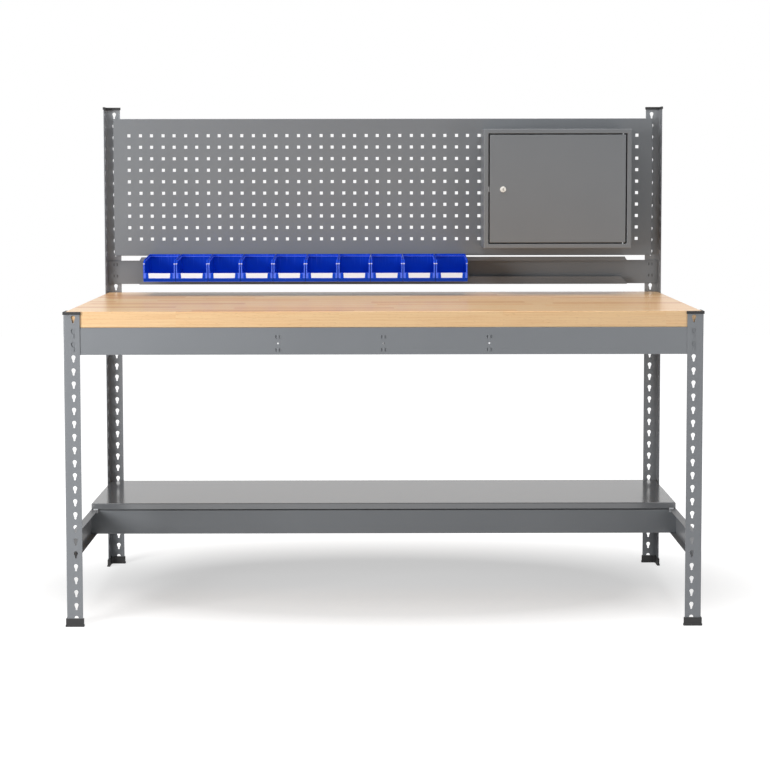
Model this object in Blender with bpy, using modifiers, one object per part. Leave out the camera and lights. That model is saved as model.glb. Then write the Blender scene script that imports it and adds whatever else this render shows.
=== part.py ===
"""Steel workbench with a wooden top, a lower shelf, a perforated tool panel, a rail of
open-fronted bins and a small lockable cabinet.

Metres, +X to the right, +Y to the back, +Z up. The origin is on the floor, in the middle
of the four feet. Run with: blender --background --python part.py
"""

import math

import bmesh
import bpy
from mathutils import Matrix

# General clearances
CLEARANCE = 0.0003
OVERCUT = 0.004

# Bench
BENCH_WIDTH = 1.840
BENCH_DEPTH = 0.775
BENCH_HEIGHT = 1.530

# Angle posts with keyholes in both flanges
POST_FLANGE = 0.047
POST_SHEET = 0.002
KEYHOLE_PITCH = 0.038
KEYHOLE_INSET = 0.028
KEYHOLE_HEAD_RADIUS = 0.006
KEYHOLE_SLOT_WIDTH = 0.0055
KEYHOLE_SLOT_DROP = 0.0155
KEYHOLE_FIRST = 0.0257
KEYHOLE_EDGE = 0.004
KEYHOLE_HEAD_SIDES = 6

# Plastic feet and top caps of the posts
FOOT_SOLE = 0.004
FOOT_SOLE_BAND = 0.006
FOOT_HEIGHT = 0.024
FOOT_WALL = 0.0022
FOOT_FLARE = 0.0012
FOOT_FILLET = 0.006
CAP_CROWN = 0.0025
CAP_SKIRT = 0.0055
CAP_WALL = 0.0016

# Hooks of the beams, which drop into the keyholes
HOOK_WIDTH = 0.0045
HOOK_NECK = 0.007
HOOK_TOOTH = 0.006
HOOK_PLATE = 0.0015

# Channel beams and the lance clusters punched in them
BEAM_HEIGHT = 0.078
BEAM_SHEET = 0.0015
BEAM_TOP_FLANGE = 0.024
BEAM_BOTTOM_FLANGE = 0.0195
CLUSTER_SPACING = 0.304
CLUSTER_DROP = 0.0065
CLUSTER_HOLE_RADIUS = 0.0026
LANCE_WIDTH = 0.0022
LANCE_LENGTH = 0.0095
LANCE_REACH = 0.0052
LANCE_PITCH = 0.0188

# The keyholes, counted from the floor, that each level's lower hooks drop into
WORKTOP_KEYHOLE = 21
SHELF_KEYHOLE = 5
RAIL_KEYHOLE = 25
PANEL_LOWER_KEYHOLE = 28
PANEL_UPPER_KEYHOLE = 37

# Wooden worktop
WORKTOP_THICKNESS = 0.046
WORKTOP_BEVEL = 0.0015

# Lower shelf, half as deep as the bench
SHELF_FRONT_Y = 0.0
SHELF_LIP = 0.020
SHELF_SHEET = 0.0012
SHELF_SIDE_GAP = 0.004
SHELF_REAR_GAP = 0.0025
SHELF_RETURN = 0.012

# Cross members: the shelf's front beam and the tie under the worktop
MEMBER_FLANGE = 0.020

# Perforated tool panel, a tray of folded sheet
PANEL_HEIGHT = 0.453
PANEL_FOLD = 0.019
PANEL_SHEET = 0.0012
PANEL_HOOK_RISE = 0.0355
PANEL_HOOK_NECK = 0.008
PANEL_HOOK_TOOTH = 0.007
PERFORATION = 0.010
PERFORATION_ROW_PITCH = 0.038
PERFORATION_PAIR = 0.0383
PERFORATION_PAIR_GAP = 0.0364
PERFORATION_BASE = 0.0555
PERFORATION_TOP_MARGIN = 0.045
PERFORATION_SIDE_MARGIN = 0.045

# Bin rail
RAIL_REACH = 0.033
RAIL_LIP_END = 0.111
RAIL_TOP_LIP = 0.013
RAIL_TOP_CHAMFER = 0.008
RAIL_BOTTOM_LIP = 0.0255
RAIL_BOTTOM_CHAMFER = 0.020

# Open-fronted bins that hang on the rail
BIN_COUNT = 10
BIN_WIDTH = 0.1036
BIN_GAP = 0.0012
BIN_START = 0.0347
BIN_DEPTH = 0.150
BIN_HEIGHT = 0.082
BIN_WALL = 0.002
BIN_TOE_HEIGHT = 0.0095
BIN_TOE_DEPTH = 0.006
BIN_FRONT_HEIGHT = 0.0285
BIN_JAMB_HEIGHT = 0.058
BIN_SHOULDER_HEIGHT = 0.0705
BIN_SHOULDER_DEPTH = 0.016
BIN_RIM_DEPTH = 0.004
BIN_HOOK_CROWN = 0.0095
BIN_HOOK_LEG = 0.0085
BIN_HOOK_SHEET = 0.002
BIN_JAMB = 0.0055

# Label cards in the bins' fronts
LABEL_WIDTH = 0.0707
LABEL_TAPER = 0.0015
LABEL_HEIGHT = 0.016
LABEL_SHEET = 0.0006
LABEL_BASE = 0.012
HOLDER_EDGE = 0.008
HOLDER_DEPTH = 0.0022

# Cabinet on the tool panel
CABINET_WIDTH = 0.474
CABINET_HEIGHT = 0.383
CABINET_DEPTH = 0.175
CABINET_SHEET = 0.0012
CABINET_BORDER = 0.0145
CABINET_DROP = 0.039
CABINET_FROM_RIGHT = 0.095
FRAME_LIP = 0.018
DOOR_GAP = 0.004
DOOR_DEPTH = 0.0175
DOOR_SHEET = 0.0012

# Hooked straps between the cabinet's back and the panel
STRAP_WIDTH = 0.016
STRAP_SHEET = 0.002
STRAP_INSET = 0.031
STRAP_HOOK_WIDTH = 0.008
STRAP_HOOK_NECK = 0.004
STRAP_HOOK_TOOTH = 0.0045
STRAP_HOOK_PLATE = 0.0015

# Hinge pins of the door
PIN_RADIUS = 0.0025
PIN_REACH = 0.004
PIN_HOLE_PLAY = 0.0004
PIVOT_FROM_EDGE = 0.008
PIVOT_DEPTH = 0.008

# Cam lock
LOCK_FROM_EDGE = 0.0425
LOCK_DROP = 0.0015
LOCK_FACE_RADIUS = 0.0095
LOCK_FACE = 0.0022
LOCK_BODY_RADIUS = 0.008
LOCK_PLUG_RADIUS = 0.0058
LOCK_PLUG_PROUD = 0.0012
LOCK_REAR_PLAY = 0.0006
LOCK_NUT_RADIUS = 0.0125
LOCK_NUT = 0.0035
KEYWAY_WIDTH = 0.0018
KEYWAY_LENGTH = 0.0085
KEYWAY_DEPTH = 0.0035
CAM_LENGTH = 0.053
CAM_WIDTH = 0.017
CAM_SHEET = 0.002
SCREW_RADIUS = 0.004
SCREW_HEAD = 0.0022
KEEPER_SHEET = 0.0018
KEEPER_HEIGHT = 0.017
KEEPER_DEPTH = 0.015

# Sides of round pieces
FEW_SIDES = 6
SOME_SIDES = 12
MANY_SIDES = 20

# Places worked out from the sizes above
HALF_WIDTH = BENCH_WIDTH / 2
HALF_DEPTH = BENCH_DEPTH / 2
POST_FOOT_Z = FOOT_SOLE + CLEARANCE
BEAM_FACE = POST_SHEET + CLEARANCE
CORNER_INSET = BEAM_FACE + BEAM_SHEET + CLEARANCE
KEYHOLE_X = HALF_WIDTH - KEYHOLE_INSET
KEYHOLE_Y = HALF_DEPTH - KEYHOLE_INSET
PANEL_HALF_WIDTH = KEYHOLE_X + PANEL_SHEET / 2
PANEL_BACK_Y = HALF_DEPTH - BEAM_FACE
PANEL_FRONT_Y = PANEL_BACK_Y - PANEL_FOLD

STEEL_GREY = (0.150, 0.155, 0.163, 1.0)
SHELF_GREY = (0.165, 0.170, 0.175, 1.0)
BEECH = (0.720, 0.470, 0.250, 1.0)
BLACK_PLASTIC = (0.025, 0.025, 0.027, 1.0)
BIN_BLUE = (0.010, 0.030, 0.420, 1.0)
CARD_WHITE = (0.850, 0.850, 0.850, 1.0)
NICKEL = (0.700, 0.690, 0.660, 1.0)
ZINC = (0.550, 0.560, 0.570, 1.0)


def clear_scene():
    for thing in list(bpy.data.objects):
        bpy.data.objects.remove(thing, do_unlink=True)


def new_collection(name):
    made = bpy.data.collections.new(name)
    bpy.context.scene.collection.children.link(made)
    return made


def new_material(name, colour, roughness, metallic):
    made = bpy.data.materials.new(name)
    made.use_nodes = True
    made.diffuse_color = colour
    shader = made.node_tree.nodes["Principled BSDF"]
    shader.inputs["Base Color"].default_value = colour
    shader.inputs["Roughness"].default_value = roughness
    shader.inputs["Metallic"].default_value = metallic
    return made


def mesh_from(name, build):
    """A mesh filled by build, which is given an empty bmesh."""
    mesh = bpy.data.meshes.new(name)
    work = bmesh.new()
    build(work)
    work.to_mesh(mesh)
    work.free()
    return mesh


def loose_object(name, mesh):
    """An object in the collection of helpers, where shapes wait to be cut or joined."""
    made = bpy.data.objects.new(name, mesh)
    made.hide_render = True
    made.display_type = "WIRE"
    bpy.data.collections["cutters"].objects.link(made)
    return made


def evaluated_mesh(source):
    """The object's mesh with its modifiers applied. The object is removed."""
    bpy.context.view_layer.update()
    graph = bpy.context.evaluated_depsgraph_get()
    mesh = bpy.data.meshes.new_from_object(source.evaluated_get(graph))
    bpy.data.objects.remove(source, do_unlink=True)
    return mesh


def box(name, low, high):
    """A box from its lowest corner to its highest one."""

    def build(work):
        size = [top - bottom for top, bottom in zip(high, low)]
        middle = [(top + bottom) / 2 for top, bottom in zip(high, low)]
        bmesh.ops.create_cube(work, size=1.0)
        bmesh.ops.scale(work, vec=size, verts=work.verts)
        bmesh.ops.translate(work, vec=middle, verts=work.verts)

    return loose_object(name, mesh_from(name, build))


def axes_for(along):
    """Turns an outline's two directions and its thickness into the bench's axes."""
    columns = {
        "X": ((0, 1, 0), (0, 0, 1), (1, 0, 0)),
        "Y": ((1, 0, 0), (0, 0, 1), (0, 1, 0)),
        "Z": ((1, 0, 0), (0, 1, 0), (0, 0, 1)),
    }[along]
    return Matrix(columns).transposed().to_4x4()


def slab(name, outlines, along, low, high):
    """Flat sheet with the first outline's edge and the others as holes or more sheets.

    The outlines lie across the axis named by along, and the sheet runs from low to high
    on that axis.
    """
    curve = bpy.data.curves.new(name, "CURVE")
    curve.dimensions = "2D"
    curve.fill_mode = "BOTH"
    curve.extrude = (high - low) / 2
    for outline in outlines:
        spline = curve.splines.new("POLY")
        spline.points.add(len(outline) - 1)
        for point, (across, up) in zip(spline.points, outline):
            point.co = (across, up, 0, 1)
        spline.use_cyclic_u = True
    source = bpy.data.objects.new(name, curve)
    bpy.data.collections["cutters"].objects.link(source)
    mesh = evaluated_mesh(source)
    bpy.data.curves.remove(curve)
    work = bmesh.new()
    work.from_mesh(mesh)
    bmesh.ops.remove_doubles(work, verts=work.verts, dist=CLEARANCE / 100)
    bmesh.ops.translate(work, vec=(0, 0, (low + high) / 2), verts=work.verts)
    bmesh.ops.transform(work, matrix=axes_for(along), verts=work.verts)
    bmesh.ops.recalc_face_normals(work, faces=work.faces)
    work.to_mesh(mesh)
    work.free()
    return loose_object(name, mesh)


def bar(name, radius, along, centre, low, high, sides):
    """A round bar along one axis; centre is its place across that axis."""

    def build(work):
        bmesh.ops.create_cone(
            work,
            cap_ends=True,
            segments=sides,
            radius1=radius,
            radius2=radius,
            depth=high - low,
        )
        bmesh.ops.translate(
            work, vec=(centre[0], centre[1], (low + high) / 2), verts=work.verts
        )
        bmesh.ops.transform(work, matrix=axes_for(along), verts=work.verts)
        bmesh.ops.recalc_face_normals(work, faces=work.faces)

    return loose_object(name, mesh_from(name, build))


def boolean(target, others, operation):
    """Cuts the others from the target, or joins them to it, and removes them."""
    for other in others:
        step = target.modifiers.new(operation.lower(), "BOOLEAN")
        step.operation = operation
        step.solver = "EXACT"
        step.object = other
        name = target.name
        mesh = evaluated_mesh(target)
        bpy.data.objects.remove(other, do_unlink=True)
        target = loose_object(name, mesh)
    return target


def cut(target, *others):
    return boolean(target, others, "DIFFERENCE")


def join(target, *others):
    return boolean(target, others, "UNION")


def finished(name, shape, material, smooth=False):
    """Moves a shape out of the helpers and gives its mesh the material."""
    mesh = shape.data
    bpy.data.objects.remove(shape, do_unlink=True)
    mesh.name = name
    mesh.materials.clear()
    mesh.materials.append(material)
    mesh.shade_flat()
    if smooth:
        mesh.shade_smooth()
        mesh.set_sharp_from_angle(angle=math.radians(40))
    return mesh


def place(name, mesh, location=(0, 0, 0), mirror=(1, 1, 1), parent=None):
    """One piece of the bench, from a mesh that other pieces may share."""
    piece = bpy.data.objects.new(name, mesh)
    piece.location = location
    piece.scale = mirror
    bpy.data.collections["workbench"].objects.link(piece)
    if parent is not None:
        bpy.context.view_layer.update()
        piece.parent = parent
        piece.matrix_parent_inverse = parent.matrix_world.inverted()
    return piece


def joint_empty(name, location):
    """An empty on a joint's axis, which carries the pieces that move about it."""
    empty = bpy.data.objects.new(name, None)
    empty.empty_display_size = POST_FLANGE
    empty.location = location
    bpy.data.collections["workbench"].objects.link(empty)
    bpy.context.view_layer.update()
    return empty


def rectangle(low_across, low_up, high_across, high_up):
    return [
        (low_across, low_up),
        (high_across, low_up),
        (high_across, high_up),
        (low_across, high_up),
    ]


def circle(across, up, radius, sides):
    return [
        (
            across + radius * math.cos(2 * math.pi * i / sides),
            up + radius * math.sin(2 * math.pi * i / sides),
        )
        for i in range(sides)
    ]


def angle_outline(overhang, leg, width, fillet=0.0):
    """An L seen from above, its outer corner overhang outside the post's corner."""
    inner = width - overhang
    steps = 3 if fillet else 0
    corner = [
        (
            inner + fillet * (1 - math.cos(math.pi / 2 * i / steps)),
            inner + fillet * (1 - math.sin(math.pi / 2 * i / steps)),
        )
        for i in range(steps, -1, -1)
    ] if fillet else [(inner, inner)]
    return [
        (-overhang, -overhang),
        (leg, -overhang),
        (leg, inner),
        *corner,
        (inner, leg),
        (-overhang, leg),
    ]


# Posts, feet and caps


def keyhole_height(index):
    """Height of the centre of a keyhole's round head, counted from the floor."""
    return KEYHOLE_FIRST + index * KEYHOLE_PITCH


def seat_height(index):
    """Height at which a hook's neck rests in a keyhole's slot."""
    return keyhole_height(index) - KEYHOLE_SLOT_DROP + CLEARANCE


def beam_height(index):
    """Height of the middle of a beam whose lower hook sits in this keyhole."""
    return seat_height(index) + (KEYHOLE_PITCH + HOOK_NECK) / 2


def worktop_base():
    return beam_height(WORKTOP_KEYHOLE) + BEAM_HEIGHT / 2 + CLEARANCE


def front_post_top():
    return worktop_base() + WORKTOP_THICKNESS - CAP_CROWN - CLEARANCE


def rear_post_top():
    return BENCH_HEIGHT - CAP_CROWN - CLEARANCE


def keyhole_outline(across, up):
    """A round head, drawn with flats, above a straight slot."""
    slot = KEYHOLE_SLOT_WIDTH / 2
    head = circle(across, up, KEYHOLE_HEAD_RADIUS, KEYHOLE_HEAD_SIDES)
    neck = -KEYHOLE_HEAD_SIDES // 3
    return [
        *head[neck + 1:],
        *head[: neck + 1],
        (across - slot, up - KEYHOLE_SLOT_DROP),
        (across + slot, up - KEYHOLE_SLOT_DROP),
    ]


def post_mesh(name, top, material):
    """A post whose outer corner is the local origin, with flanges along +X and +Y."""
    profile = angle_outline(0.0, POST_FLANGE, POST_SHEET)
    post = slab(name, [profile], "Z", POST_FOOT_Z, top)
    highest = top - KEYHOLE_EDGE - KEYHOLE_HEAD_RADIUS
    count = int((highest - KEYHOLE_FIRST) / KEYHOLE_PITCH) + 1
    holes = [keyhole_outline(KEYHOLE_INSET, keyhole_height(i)) for i in range(count)]
    for along in ("Y", "X"):
        cutter = slab(name + "_keyholes", holes, along, -OVERCUT, POST_SHEET + OVERCUT)
        post = cut(post, cutter)
    return finished(name, post, material)


def foot_mesh(material):
    """A shoe round the post's lower end; the local origin is the post's outer corner."""
    outside = CLEARANCE + FOOT_WALL
    width = POST_SHEET + 2 * outside
    sole = angle_outline(
        outside + FOOT_FLARE,
        POST_FLANGE + outside + FOOT_FLARE,
        width + 2 * FOOT_FLARE,
        FOOT_FILLET,
    )
    skirt = angle_outline(outside, POST_FLANGE + outside, width, FOOT_FILLET)
    slot = angle_outline(
        CLEARANCE, POST_FLANGE + CLEARANCE, POST_SHEET + 2 * CLEARANCE
    )
    foot = slab("foot", [sole], "Z", 0, FOOT_SOLE_BAND)
    foot = join(foot, slab("foot_skirt", [skirt], "Z", FOOT_SOLE / 2, FOOT_HEIGHT))
    foot = cut(foot, slab("foot_slot", [slot], "Z", FOOT_SOLE, FOOT_HEIGHT + OVERCUT))
    return finished("foot", foot, material)


def cap_mesh(material):
    """A cap over the post's upper end, whose height is the local zero."""
    outside = CLEARANCE + CAP_WALL
    crown = angle_outline(outside, POST_FLANGE + outside, POST_SHEET + 2 * outside)
    slot = angle_outline(
        CLEARANCE, POST_FLANGE + CLEARANCE, POST_SHEET + 2 * CLEARANCE
    )
    cap = slab("post_cap", [crown], "Z", -CAP_SKIRT, CLEARANCE + CAP_CROWN)
    cap = cut(cap, slab("cap_slot", [slot], "Z", -CAP_SKIRT - OVERCUT, CLEARANCE))
    return finished("post_cap", cap, material)


def add_posts(steel, plastic):
    front = post_mesh("post_front", front_post_top(), steel)
    rear = post_mesh("post_rear", rear_post_top(), steel)
    foot = foot_mesh(plastic)
    cap = cap_mesh(plastic)
    for end, post, top, turn_y in (
        ("front", front, front_post_top(), 1),
        ("rear", rear, rear_post_top(), -1),
    ):
        for side, turn_x in (("left", 1), ("right", -1)):
            corner = (-turn_x * HALF_WIDTH, -turn_y * HALF_DEPTH, 0)
            mirror = (turn_x, turn_y, 1)
            place(f"post_{end}_{side}", post, corner, mirror)
            place(f"foot_{end}_{side}", foot, corner, mirror)
            place(f"post_cap_{end}_{side}", cap, (corner[0], corner[1], top), mirror)


# Beams


def hook_outline(root, seat, plate, neck, tooth, wall):
    """A hook from its sheet, at root, out through a wall and down outside it.

    The first direction is outwards negative, the second is up, and seat is the height
    at which the neck rests.
    """
    outside = -(wall + 2 * CLEARANCE)
    return [
        (root, seat),
        (outside, seat),
        (outside, seat - tooth),
        (outside - plate, seat - tooth),
        (outside - plate, seat + neck),
        (root, seat + neck),
    ]


def beam_hooks(name, positions, along):
    """Hooks of one beam, one above another at each position along it."""
    hooks = []
    for position in positions:
        for step in (-1, 1):
            seat = (step * KEYHOLE_PITCH - HOOK_NECK) / 2
            outline = hook_outline(
                BEAM_SHEET / 2, seat, HOOK_PLATE, HOOK_NECK, HOOK_TOOTH, POST_SHEET
            )
            low = position - HOOK_WIDTH / 2
            hooks.append(slab(name + "_hook", [outline], along, low, low + HOOK_WIDTH))
    return hooks


def channel_outline(height, top_flange, bottom_flange):
    """A channel seen along its length: web at zero, flanges to the positive side."""
    half = height / 2
    return [
        (0, -half),
        (bottom_flange, -half),
        (bottom_flange, BEAM_SHEET - half),
        (BEAM_SHEET, BEAM_SHEET - half),
        (BEAM_SHEET, half - BEAM_SHEET),
        (top_flange, half - BEAM_SHEET),
        (top_flange, half),
        (0, half),
    ]


def cluster(across, up):
    """A round hole with a pair of upright lances above it and a pair below it."""
    outlines = [circle(across, up, CLUSTER_HOLE_RADIUS, FEW_SIDES)]
    for row in (-1, 1):
        middle = up + row * LANCE_PITCH
        for side in (-1, 1):
            place_across = across + side * LANCE_REACH
            lance = rectangle(
                place_across - LANCE_WIDTH / 2,
                middle - LANCE_LENGTH / 2,
                place_across + LANCE_WIDTH / 2,
                middle + LANCE_LENGTH / 2,
            )
            outlines.append(lance)
    return outlines


def long_beam_mesh(material):
    """Front and rear beams. The local origin is the middle of the web's outer face."""
    half = HALF_WIDTH - CORNER_INSET
    flange_end = HALF_WIDTH - BEAM_FACE - BEAM_TOP_FLANGE - CLEARANCE
    outline = channel_outline(BEAM_HEIGHT, BEAM_TOP_FLANGE, BEAM_BOTTOM_FLANGE)
    beam = slab("beam_long", [outline], "X", -half, half)
    for side in (-1, 1):
        ends = sorted((side * flange_end, side * (half + OVERCUT)))
        notch = box(
            "flange_notch",
            (ends[0], BEAM_SHEET, -BEAM_HEIGHT),
            (ends[1], BEAM_TOP_FLANGE + OVERCUT, BEAM_HEIGHT),
        )
        beam = cut(beam, notch)
    clusters = []
    for step in (-1, 0, 1):
        clusters.extend(cluster(step * CLUSTER_SPACING, -CLUSTER_DROP))
    beam = cut(beam, slab("lances", clusters, "Y", -OVERCUT, BEAM_SHEET + OVERCUT))
    for position in (-KEYHOLE_X, KEYHOLE_X):
        beam = join(beam, *beam_hooks("beam_long", (position,), "X"))
    return finished("beam_long", beam, material)


def side_beam_mesh(material):
    """Left beams, mirrored for the right. The outline's first direction is then X."""
    half = HALF_DEPTH - CORNER_INSET
    outline = channel_outline(BEAM_HEIGHT, BEAM_TOP_FLANGE, BEAM_BOTTOM_FLANGE)
    beam = slab("beam_side", [outline], "Y", -half, half)
    beam = join(beam, *beam_hooks("beam_side", (-KEYHOLE_Y, KEYHOLE_Y), "Y"))
    return finished("beam_side", beam, material)


def member_mesh(name, along, half, material):
    """A channel that fits between the flanges of two beams and stands on their lower ones."""
    height = BEAM_HEIGHT - 2 * (BEAM_SHEET + CLEARANCE)
    outline = channel_outline(height, MEMBER_FLANGE, MEMBER_FLANGE)
    return finished(name, slab(name, [outline], along, -half, half), material)


def add_beams(steel):
    long_beam = long_beam_mesh(steel)
    side_beam = side_beam_mesh(steel)
    front_y = -HALF_DEPTH + BEAM_FACE
    side_x = -HALF_WIDTH + BEAM_FACE
    upper = beam_height(WORKTOP_KEYHOLE)
    lower = beam_height(SHELF_KEYHOLE)
    place("beam_worktop_front", long_beam, (0, front_y, upper))
    place("beam_worktop_rear", long_beam, (0, -front_y, upper), (1, -1, 1))
    place("beam_shelf_rear", long_beam, (0, -front_y, lower), (1, -1, 1))
    for level, height in (("worktop", upper), ("shelf", lower)):
        place(f"beam_{level}_left", side_beam, (side_x, 0, height))
        place(f"beam_{level}_right", side_beam, (-side_x, 0, height), (-1, 1, 1))
    shelf_half = HALF_WIDTH - CORNER_INSET
    tie_half = HALF_DEPTH - CORNER_INSET
    front = member_mesh("beam_shelf_front", "X", shelf_half, steel)
    place("beam_shelf_front", front, (0, SHELF_FRONT_Y, lower))
    tie = member_mesh("cross_tie", "Y", tie_half, steel)
    place("cross_tie", tie, (-BEAM_SHEET / 2, 0, upper))


# Worktop and lower shelf


def add_worktop(wood):
    edge = POST_SHEET + 2 * CLEARANCE + CAP_WALL + CLEARANCE
    base = worktop_base()
    low = (-HALF_WIDTH + edge, -HALF_DEPTH + edge, base)
    high = (HALF_WIDTH - edge, HALF_DEPTH - edge, base + WORKTOP_THICKNESS)
    board = box("worktop", low, high)
    bevel = board.modifiers.new("bevel", "BEVEL")
    bevel.width = WORKTOP_BEVEL
    bevel.segments = 1
    mesh = evaluated_mesh(board)
    place("worktop", finished("worktop", loose_object("worktop", mesh), wood))


def add_shelf(steel):
    """A tray turned upside down, with a return along its front and rear lips."""
    half = HALF_WIDTH - POST_SHEET - SHELF_SIDE_GAP
    back = HALF_DEPTH - POST_SHEET - SHELF_REAR_GAP
    base = beam_height(SHELF_KEYHOLE) + BEAM_HEIGHT / 2 + CLEARANCE
    outline = [
        (SHELF_FRONT_Y, base),
        (SHELF_FRONT_Y + SHELF_RETURN, base),
        (SHELF_FRONT_Y + SHELF_RETURN, base + SHELF_SHEET),
        (SHELF_FRONT_Y + SHELF_SHEET, base + SHELF_SHEET),
        (SHELF_FRONT_Y + SHELF_SHEET, base + SHELF_LIP - SHELF_SHEET),
        (back - SHELF_SHEET, base + SHELF_LIP - SHELF_SHEET),
        (back - SHELF_SHEET, base + SHELF_SHEET),
        (back - SHELF_RETURN, base + SHELF_SHEET),
        (back - SHELF_RETURN, base),
        (back, base),
        (back, base + SHELF_LIP),
        (SHELF_FRONT_Y, base + SHELF_LIP),
    ]
    shelf = slab("lower_shelf", [outline], "X", -half, half)
    for side in (-1, 1):
        ends = sorted((side * half, side * (half - SHELF_SHEET)))
        skirt = box(
            "shelf_skirt",
            (ends[0], SHELF_FRONT_Y + SHELF_SHEET / 2, base),
            (ends[1], back - SHELF_SHEET / 2, base + SHELF_LIP - SHELF_SHEET / 2),
        )
        shelf = join(shelf, skirt)
    place("lower_shelf", finished("lower_shelf", shelf, steel))


# Tool panel


def panel_base():
    return seat_height(PANEL_LOWER_KEYHOLE) - PANEL_HOOK_RISE


def perforation_columns():
    """Middles of the columns: pairs, with a slightly narrower gap between pairs."""
    step = PERFORATION_PAIR + PERFORATION_PAIR_GAP
    room = 2 * (PANEL_HALF_WIDTH - PERFORATION_SIDE_MARGIN)
    pairs = int((room + PERFORATION_PAIR_GAP) / step)
    first = -(pairs * step - PERFORATION_PAIR_GAP) / 2
    return [
        first + pair * step + extra
        for pair in range(pairs)
        for extra in (0, PERFORATION_PAIR)
    ]


def perforation_rows():
    first = panel_base() + PERFORATION_BASE
    room = PANEL_HEIGHT - PERFORATION_BASE - PERFORATION_TOP_MARGIN
    count = int(room / PERFORATION_ROW_PITCH) + 1
    return [first + i * PERFORATION_ROW_PITCH for i in range(count)]


def edge_lines(low, high, middles):
    """Where the panel's folds and holes begin and end along one direction."""
    hole = PERFORATION / 2
    sides = [middle + side * hole for middle in middles for side in (-1, 1)]
    return [low, low + PANEL_SHEET, *sides, high - PANEL_SHEET, high]


def folded_sheet(name, across, up):
    """The panel's sheet with its holes and the folds round its edge, in one body.

    Along both directions the first and last spaces are folds, and between them every
    other space is a hole.
    """

    def build(work):
        rows = [[work.verts.new((x, PANEL_FRONT_Y, z)) for x in across] for z in up]
        folds = []
        for i, (lower, upper) in enumerate(zip(rows, rows[1:])):
            for j in range(len(across) - 1):
                edge = i in (0, len(up) - 2) or j in (0, len(across) - 2)
                if not edge and i % 2 == 0 and j % 2 == 0:
                    continue
                face = work.faces.new((lower[j], lower[j + 1], upper[j + 1], upper[j]))
                if edge:
                    folds.append(face.calc_center_median().to_tuple(5))
        sheet = bmesh.ops.extrude_face_region(work, geom=work.faces[:])["geom"]
        moved = [part for part in sheet if isinstance(part, bmesh.types.BMVert)]
        bmesh.ops.translate(work, vec=(0, PANEL_SHEET, 0), verts=moved)
        folds = {(x, z) for x, _, z in folds}
        ring = []
        for part in sheet:
            if isinstance(part, bmesh.types.BMFace):
                x, _, z = part.calc_center_median().to_tuple(5)
                if (x, z) in folds:
                    ring.append(part)
        edges = list({edge for face in ring for edge in face.edges})
        fold = bmesh.ops.extrude_face_region(work, geom=ring + edges)["geom"]
        moved = [part for part in fold if isinstance(part, bmesh.types.BMVert)]
        depth = PANEL_BACK_Y - PANEL_FRONT_Y - PANEL_SHEET
        bmesh.ops.translate(work, vec=(0, depth, 0), verts=moved)
        bmesh.ops.recalc_face_normals(work, faces=work.faces)

    return loose_object(name, mesh_from(name, build))


def add_panel(steel):
    base = panel_base()
    half = PANEL_HALF_WIDTH
    across = edge_lines(-half, half, perforation_columns())
    up = edge_lines(base, base + PANEL_HEIGHT, perforation_rows())
    panel = folded_sheet("tool_panel", across, up)
    for index in (PANEL_LOWER_KEYHOLE, PANEL_UPPER_KEYHOLE):
        outline = hook_outline(
            PANEL_SHEET,
            seat_height(index),
            HOOK_PLATE,
            PANEL_HOOK_NECK,
            PANEL_HOOK_TOOTH,
            POST_SHEET,
        )
        backwards = [(PANEL_BACK_Y + CLEARANCE - across, up) for across, up in outline]
        for side in (-1, 1):
            ends = sorted((side * half, side * (half - PANEL_SHEET)))
            panel = join(panel, slab("panel_hook", [backwards], "X", *ends))
    place("tool_panel", finished("tool_panel", panel, steel))


# Bin rail and bins


def rail_lip_y():
    """Front face of the rail's two lips."""
    return HALF_DEPTH - BEAM_FACE - RAIL_REACH


def add_rail(steel):
    middle = beam_height(RAIL_KEYHOLE)
    low = middle - BEAM_HEIGHT / 2
    high = middle + BEAM_HEIGHT / 2
    half = HALF_WIDTH - CORNER_INSET
    lip_half = HALF_WIDTH - RAIL_LIP_END
    web_back = HALF_DEPTH - BEAM_FACE
    web_front = web_back - BEAM_SHEET
    lip_front = rail_lip_y()
    face = [rectangle(-half, low, half, high)]
    for side in (-1, 1):
        face.extend(cluster(side * KEYHOLE_X, middle + CLUSTER_DROP))
    rail = slab("bin_rail", face, "Y", web_front, web_back)
    for height, lip, chamfer in (
        (high - BEAM_SHEET, RAIL_TOP_LIP + BEAM_SHEET, RAIL_TOP_CHAMFER),
        (low, RAIL_BOTTOM_LIP, RAIL_BOTTOM_CHAMFER),
    ):
        flange = box(
            "rail_flange",
            (-lip_half, lip_front + BEAM_SHEET / 2, height),
            (lip_half, web_front + BEAM_SHEET / 2, height + BEAM_SHEET),
        )
        edge = [
            (-lip_half, height),
            (lip_half, height),
            (lip_half, height + BEAM_SHEET),
            (lip_half - chamfer, height + lip),
            (chamfer - lip_half, height + lip),
            (-lip_half, height + BEAM_SHEET),
        ]
        upright = slab("rail_lip", [edge], "Y", lip_front, lip_front + BEAM_SHEET)
        rail = join(rail, join(flange, upright))
    for position in (-KEYHOLE_X, KEYHOLE_X):
        for hook in beam_hooks("rail", (position,), "X"):
            hook.data.transform(Matrix.Diagonal((1, -1, 1, 1)))
            hook.data.flip_normals()
            hook.data.transform(Matrix.Translation((0, web_back, middle)))
            rail = join(rail, hook)
    place("bin_rail", finished("bin_rail", rail, steel))


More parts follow.
